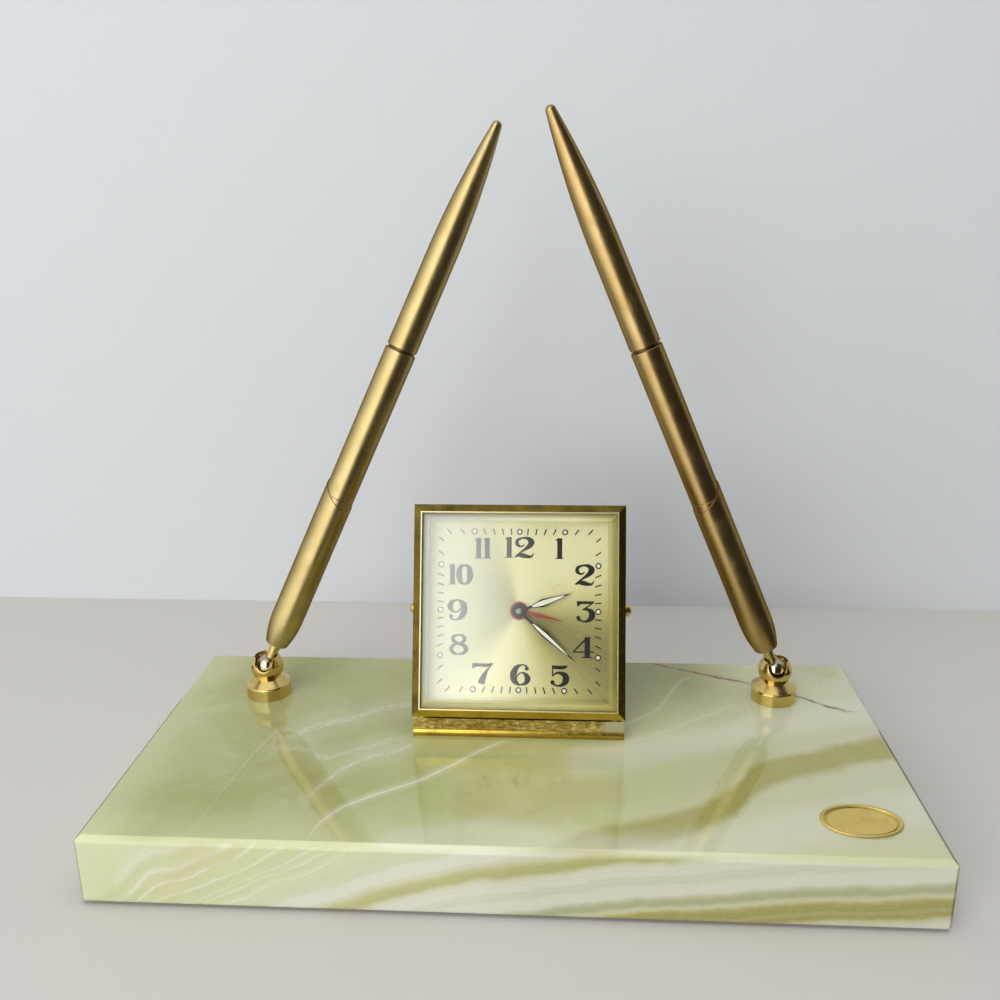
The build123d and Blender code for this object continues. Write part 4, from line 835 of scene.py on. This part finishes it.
def felt_sheet(material):
    low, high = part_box("felt_pad")
    corner = 0.003
    count_x, count_y = 66, 32
    bm = bmesh.new()
    wide = high[0] - low[0]
    deep = high[1] - low[1]
    middle = ((low[0] + high[0]) / 2, (low[1] + high[1]) / 2)
    layers = []
    for level in (low[2], high[2]):
        grid = []
        for i in range(count_x + 1):
            row = []
            for j in range(count_y + 1):
                x = wide * (i / count_x - 0.5)
                y = deep * (j / count_y - 0.5)
                over_x = abs(x) - (wide / 2 - corner)
                over_y = abs(y) - (deep / 2 - corner)
                if over_x > 0 and over_y > 0:
                    reach = math.hypot(over_x, over_y)
                    if reach > corner:
                        x -= math.copysign(over_x * (1 - corner / reach), x)
                        y -= math.copysign(over_y * (1 - corner / reach), y)
                row.append(bm.verts.new((middle[0] + x, middle[1] + y, level)))
            grid.append(row)
        layers.append(grid)
    bottom, top = layers
    for i in range(count_x):
        for j in range(count_y):
            bm.faces.new([bottom[i][j], bottom[i][j + 1], bottom[i + 1][j + 1], bottom[i + 1][j]])
            bm.faces.new([top[i][j], top[i + 1][j], top[i + 1][j + 1], top[i][j + 1]])
    rim = [(i, 0) for i in range(count_x)] + [(count_x, j) for j in range(count_y)]
    rim += [(i, count_y) for i in range(count_x, 0, -1)] + [(0, j) for j in range(count_y, 0, -1)]
    for (a, b), (c, d) in zip(rim, rim[1:] + rim[:1]):
        bm.faces.new([bottom[a][b], bottom[c][d], top[c][d], top[a][b]])
    sheet = new_piece("felt_sheet", bm, "base", material)
    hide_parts("felt_pad")
    return sheet


# The bare oval label: a raised rim and a thin inner border, each with its place as a share of the label's
# half size, its half width and its height

LABEL_RIDGES = ((0.955, 0.00045, 0.0001), (0.86, 0.00018, 0.00005))


def label_border(material):
    low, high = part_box("oval_label")
    middle = Vector(((low[0] + high[0]) / 2, (low[1] + high[1]) / 2, high[2]))
    half_x = (high[0] - low[0]) / 2
    half_y = (high[1] - low[1]) / 2
    bm = bmesh.new()
    around, over = 96, 6
    for share, width, height in LABEL_RIDGES:
        rings = []
        for i in range(around):
            angle = 2 * math.pi * i / around
            out = Vector((math.cos(angle) / half_x, math.sin(angle) / half_y, 0)).normalized()
            reach = Vector((half_x * share * math.cos(angle), half_y * share * math.sin(angle), 0))
            spine = middle + reach
            ring = []
            for k in range(over + 1):
                bow = math.pi * k / over
                lift = Vector((0, 0, height * math.sin(bow)))
                ring.append(bm.verts.new(spine + out * width * math.cos(bow) + lift))
            rings.append(ring)
        for a, b in zip(rings, rings[1:] + rings[:1]):
            for k in range(over):
                bm.faces.new([a[k], b[k], b[k + 1], a[k + 1]])
            bm.faces.new([a[over], b[over], b[0], a[0]])
    return new_piece("label_border", bm, "base", material, smooth=True)


# Materials on the pieces

BROWN = srgb(92, 64, 28)
white_paint = plain("lume_white", srgb(240, 240, 232), srgb(224, 224, 210), 0.5, 0.1)
ink_black = plain("dial_ink", srgb(12, 12, 15), srgb(20, 20, 25), 0.4, 0.1)
PEN_WEAR = {
    "grime": srgb(110, 86, 44), "stained": 0.1, "specks": 0.25, "brushed": (1.0, 1.0, 0.2), "grain": 0.008,
    "edge_tint": (0.22, 0.18, 0.11, 1),
}
# The right pen's brass: a browner, darker copy of the pen brass, painted shade on the same metal
right_pen_painted_shade = metal(
    "pen_brass_browned", srgb(184, 158, 108), srgb(168, 138, 84), 0.31, 0.025, **PEN_WEAR,
)
finishes = {
    "onyx": onyx_material(),
    "label_foil": metal(
        "label_brass", srgb(246, 226, 144), srgb(236, 212, 124), 0.5, 0.08,
        grime=srgb(206, 176, 96), stained=0.4,
    ),
    "steel": metal("steel_satin", srgb(190, 190, 186), srgb(160, 160, 158), 0.3, 0.1),
    "polished_brass": metal(
        "brass_polished", srgb(226, 202, 132), srgb(208, 180, 106), 0.16, 0.04, grime=BROWN, stained=0.35,
    ),
    "chrome_ball": ball_material(),
    "seat_plastic": plain("seat_nylon", srgb(222, 218, 200), srgb(206, 200, 180), 0.5, 0.1),
    "pen_brass": metal(
        "pen_brass_yellow", srgb(190, 172, 122), srgb(176, 155, 100), 0.31, 0.025, **PEN_WEAR,
    ),
    "ring_brass": metal("ring_brass", srgb(112, 94, 58), srgb(84, 70, 42), 0.35, 0.06),
    "refill_brass": metal("refill_brass", srgb(200, 172, 108), srgb(178, 148, 84), 0.3, 0.06),
    "clock_gold": metal(
        "gold_worn", srgb(204, 172, 84), srgb(176, 142, 62), 0.2, 0.08, grime=BROWN, specks=0.7,
    ),
    "case_gold": metal(
        "gold_satin", srgb(214, 188, 114), srgb(196, 168, 94), 0.34, 0.05,
        grime=srgb(140, 110, 60), stained=0.35,
    ),
    "lens_clear": lens_material(),
    "dial_gold": dial_material(),
    "hand_black": plain("hand_lacquer", srgb(14, 15, 24), srgb(26, 28, 40), 0.25, 0.08),
    "hand_red": plain("hand_red", srgb(176, 58, 62), srgb(150, 46, 60), 0.35, 0.08),
    "movement_brass": metal("movement_brass", srgb(214, 180, 104), srgb(188, 150, 80), 0.28, 0.08),
    "movement_steel": metal("movement_steel", srgb(186, 186, 188), srgb(150, 150, 154), 0.28, 0.08),
}
for row in frame["record"]["subparts"]:
    if row["node"] == "felt_pad":
        continue
    mesh = nodes[row["node"]].data
    mesh.materials.clear()
    mesh.materials.append(finishes[row["material_slot"]])
    # The right pen takes the browner, darker copy, a painted shade
    if row["material_slot"] == "pen_brass" and row["node"].startswith("right_"):
        mesh.materials[0] = right_pen_painted_shade
nodes["clock_yoke"].data.materials[0] = yoke_material()
nodes["bezel"].data.materials[0] = bezel_material()

# Each hand's node and body, its angle from twelve in degrees, and its length and width in mm
HANDS = [
    ("hour_hand", "hour_work", 70.8, 15.4, 2.2),
    ("minute_hand", "time_setting", 131.2, 20.7, 1.8),
]
dial_print(ink_black, white_paint)
for hand, body, angle, length, width in HANDS:
    hand_inlay(hand + "_inlay", body, angle, length, width, front_of(hand), white_paint)
felt_sheet(felt_material())
label_border(finishes["label_foil"])


# Stage: a pale floor and a pale wall that shows only its front, with soft lights for the surfaces and a
# wide card on the left, and one overhead, for the metal to mirror

def stage_plane(name, corners, material):
    mesh = bpy.data.meshes.new(name)
    mesh.from_pydata(corners, [], [tuple(range(len(corners)))])
    piece = bpy.data.objects.new(name, mesh)
    bpy.context.scene.collection.objects.link(piece)
    mesh.materials.append(material)
    return piece


def wall_material():
    g = Graph("wall_pale")
    wall = g.principled(Base_Color=srgb(194, 197, 201), Roughness=0.9)
    clear = g.node("ShaderNodeBsdfTransparent")
    from_behind = g.node("ShaderNodeNewGeometry").outputs["Backfacing"]
    return g.surface(blended(g, from_behind, wall, clear.outputs[0]))


def floor_material():
    g = Graph("floor_pale")
    return g.surface(g.principled(Base_Color=srgb(192, 189, 184), Roughness=0.7))


def card_material(name, strength, right_edge, soft_edge, far_left, far_share):
    """A glow that starts at its right edge, is full past the soft edge and dims to the far left and below."""
    g = Graph(name)
    x, _, z = g.split(g.place())
    start = g.span(x, right_edge, right_edge - soft_edge, smooth=True)
    dim = g.span(x, right_edge - soft_edge, far_left, 1.0, far_share)
    below = g.span(z, -0.25, 0.12, 0.35, 1.0)
    glow = g.node("ShaderNodeEmission")
    power = g.math("MULTIPLY", g.math("MULTIPLY", start, dim), below)
    g.put(glow.inputs["Strength"], g.math("MULTIPLY", power, strength))
    return g.surface(glow.outputs[0])


def mirrored_card(name, corners, material):
    card = stage_plane(name, corners, material)
    card.visible_camera = False
    card.visible_diffuse = False
    card.visible_transmission = False
    card.visible_shadow = False


STAGE_REACH = 2
WALL_Y = 0.137
WALL_HEIGHT = 1.6
FLOOR_SPLIT = 0.06
FLOOR_Z = -0.0001
pale_floor = floor_material()


def floor_part(name, near, far):
    return stage_plane(name, [
        (-STAGE_REACH, near, FLOOR_Z), (STAGE_REACH, near, FLOOR_Z),
        (STAGE_REACH, far, FLOOR_Z), (-STAGE_REACH, far, FLOOR_Z),
    ], pale_floor)


floor_part("floor", -STAGE_REACH, FLOOR_SPLIT).visible_glossy = False
floor_part("floor_behind", FLOOR_SPLIT, STAGE_REACH)
stage_plane("wall", [
    (-STAGE_REACH, WALL_Y, 0), (STAGE_REACH, WALL_Y, 0),
    (STAGE_REACH, WALL_Y, WALL_HEIGHT), (-STAGE_REACH, WALL_Y, WALL_HEIGHT),
], wall_material())
mirrored_card(
    "left_card", [(0.005, -0.42, -0.4), (-0.75, 0.1, -0.4), (-0.75, 0.1, 0.7), (0.005, -0.42, 0.7)],
    card_material("left_glow", 3.0, 0.005, 0.07, -0.5, 0.34),
)
mirrored_card(
    "top_card", [(-0.6, -0.5, 0.9), (0.4, -0.5, 0.9), (0.4, 0.1, 0.9), (-0.6, 0.1, 0.9)],
    card_material("top_glow", 1.1, 0.4, 0.3, -0.6, 1.0),
)


def area_light(name, place, target, width, height, power, colour=(1, 1, 1)):
    data = bpy.data.lights.new(name, "AREA")
    data.shape = "RECTANGLE"
    data.size = width
    data.size_y = height
    data.energy = power
    data.color = colour
    lamp = bpy.data.objects.new(name, data)
    lamp.location = place
    lamp.rotation_euler = (Vector(target) - Vector(place)).to_track_quat("-Z", "Y").to_euler()
    lamp.visible_glossy = False
    bpy.context.scene.collection.objects.link(lamp)


area_light("window", (-0.55, -1.0, 0.42), (0, 0, 0.06), 0.9, 0.7, 12.0, (1.0, 0.99, 0.97))
area_light("overhead", (0.1, -0.15, 1.1), (0, 0, 0), 1.2, 1.0, 8.0)
area_light("front", (-0.1, -1.1, 0.12), (0, 0, 0.03), 0.8, 0.4, 1.8)

# The room: pale to the eye, dim in mirrors and in between as light on the surfaces
SEEN, MIRRORED, SHED = 0.6, 0.05, 0.25
world = bpy.data.worlds.new("room")
world.use_nodes = True
room = world.node_tree
background = room.nodes["Background"]
background.inputs["Color"].default_value = (0.86, 0.88, 0.9, 1)
ray = room.nodes.new("ShaderNodeLightPath")
level = background.inputs["Strength"]
for kind, strength in (("Is Camera Ray", SEEN), ("Is Glossy Ray", MIRRORED)):
    step = room.nodes.new("ShaderNodeMix")
    step.inputs["B"].default_value = strength
    room.links.new(ray.outputs[kind], step.inputs["Factor"])
    room.links.new(step.outputs["Result"], level)
    level = step.inputs["A"]
level.default_value = SHED
bpy.context.scene.world = world

# The camera, as fitted to the photograph's slab edges

yaw, pitch, roll = math.radians(3.756), math.radians(17.0), math.radians(-0.694)
forward = Vector((-math.sin(yaw) * math.cos(pitch), math.cos(yaw) * math.cos(pitch), -math.sin(pitch)))
level_right = Vector((math.cos(yaw), math.sin(yaw), 0))
level_up = level_right.cross(forward)
right = level_right * math.cos(roll) + level_up * math.sin(roll)
up = level_up * math.cos(roll) - level_right * math.sin(roll)
camera_data = bpy.data.cameras.new("camera")
camera_data.sensor_width = 36.0
camera_data.lens = 35.634
camera_data.clip_start = 0.01
camera = bpy.data.objects.new("camera", camera_data)
turn = Matrix((right, up, -forward)).transposed().to_4x4()
camera_place = (0.01262, -0.24049, 0.16055)
camera.matrix_world = Matrix.Translation(camera_place) @ turn
bpy.context.scene.collection.objects.link(camera)
bpy.context.scene.camera = camera
bpy.context.scene.view_settings.view_transform = "Standard"
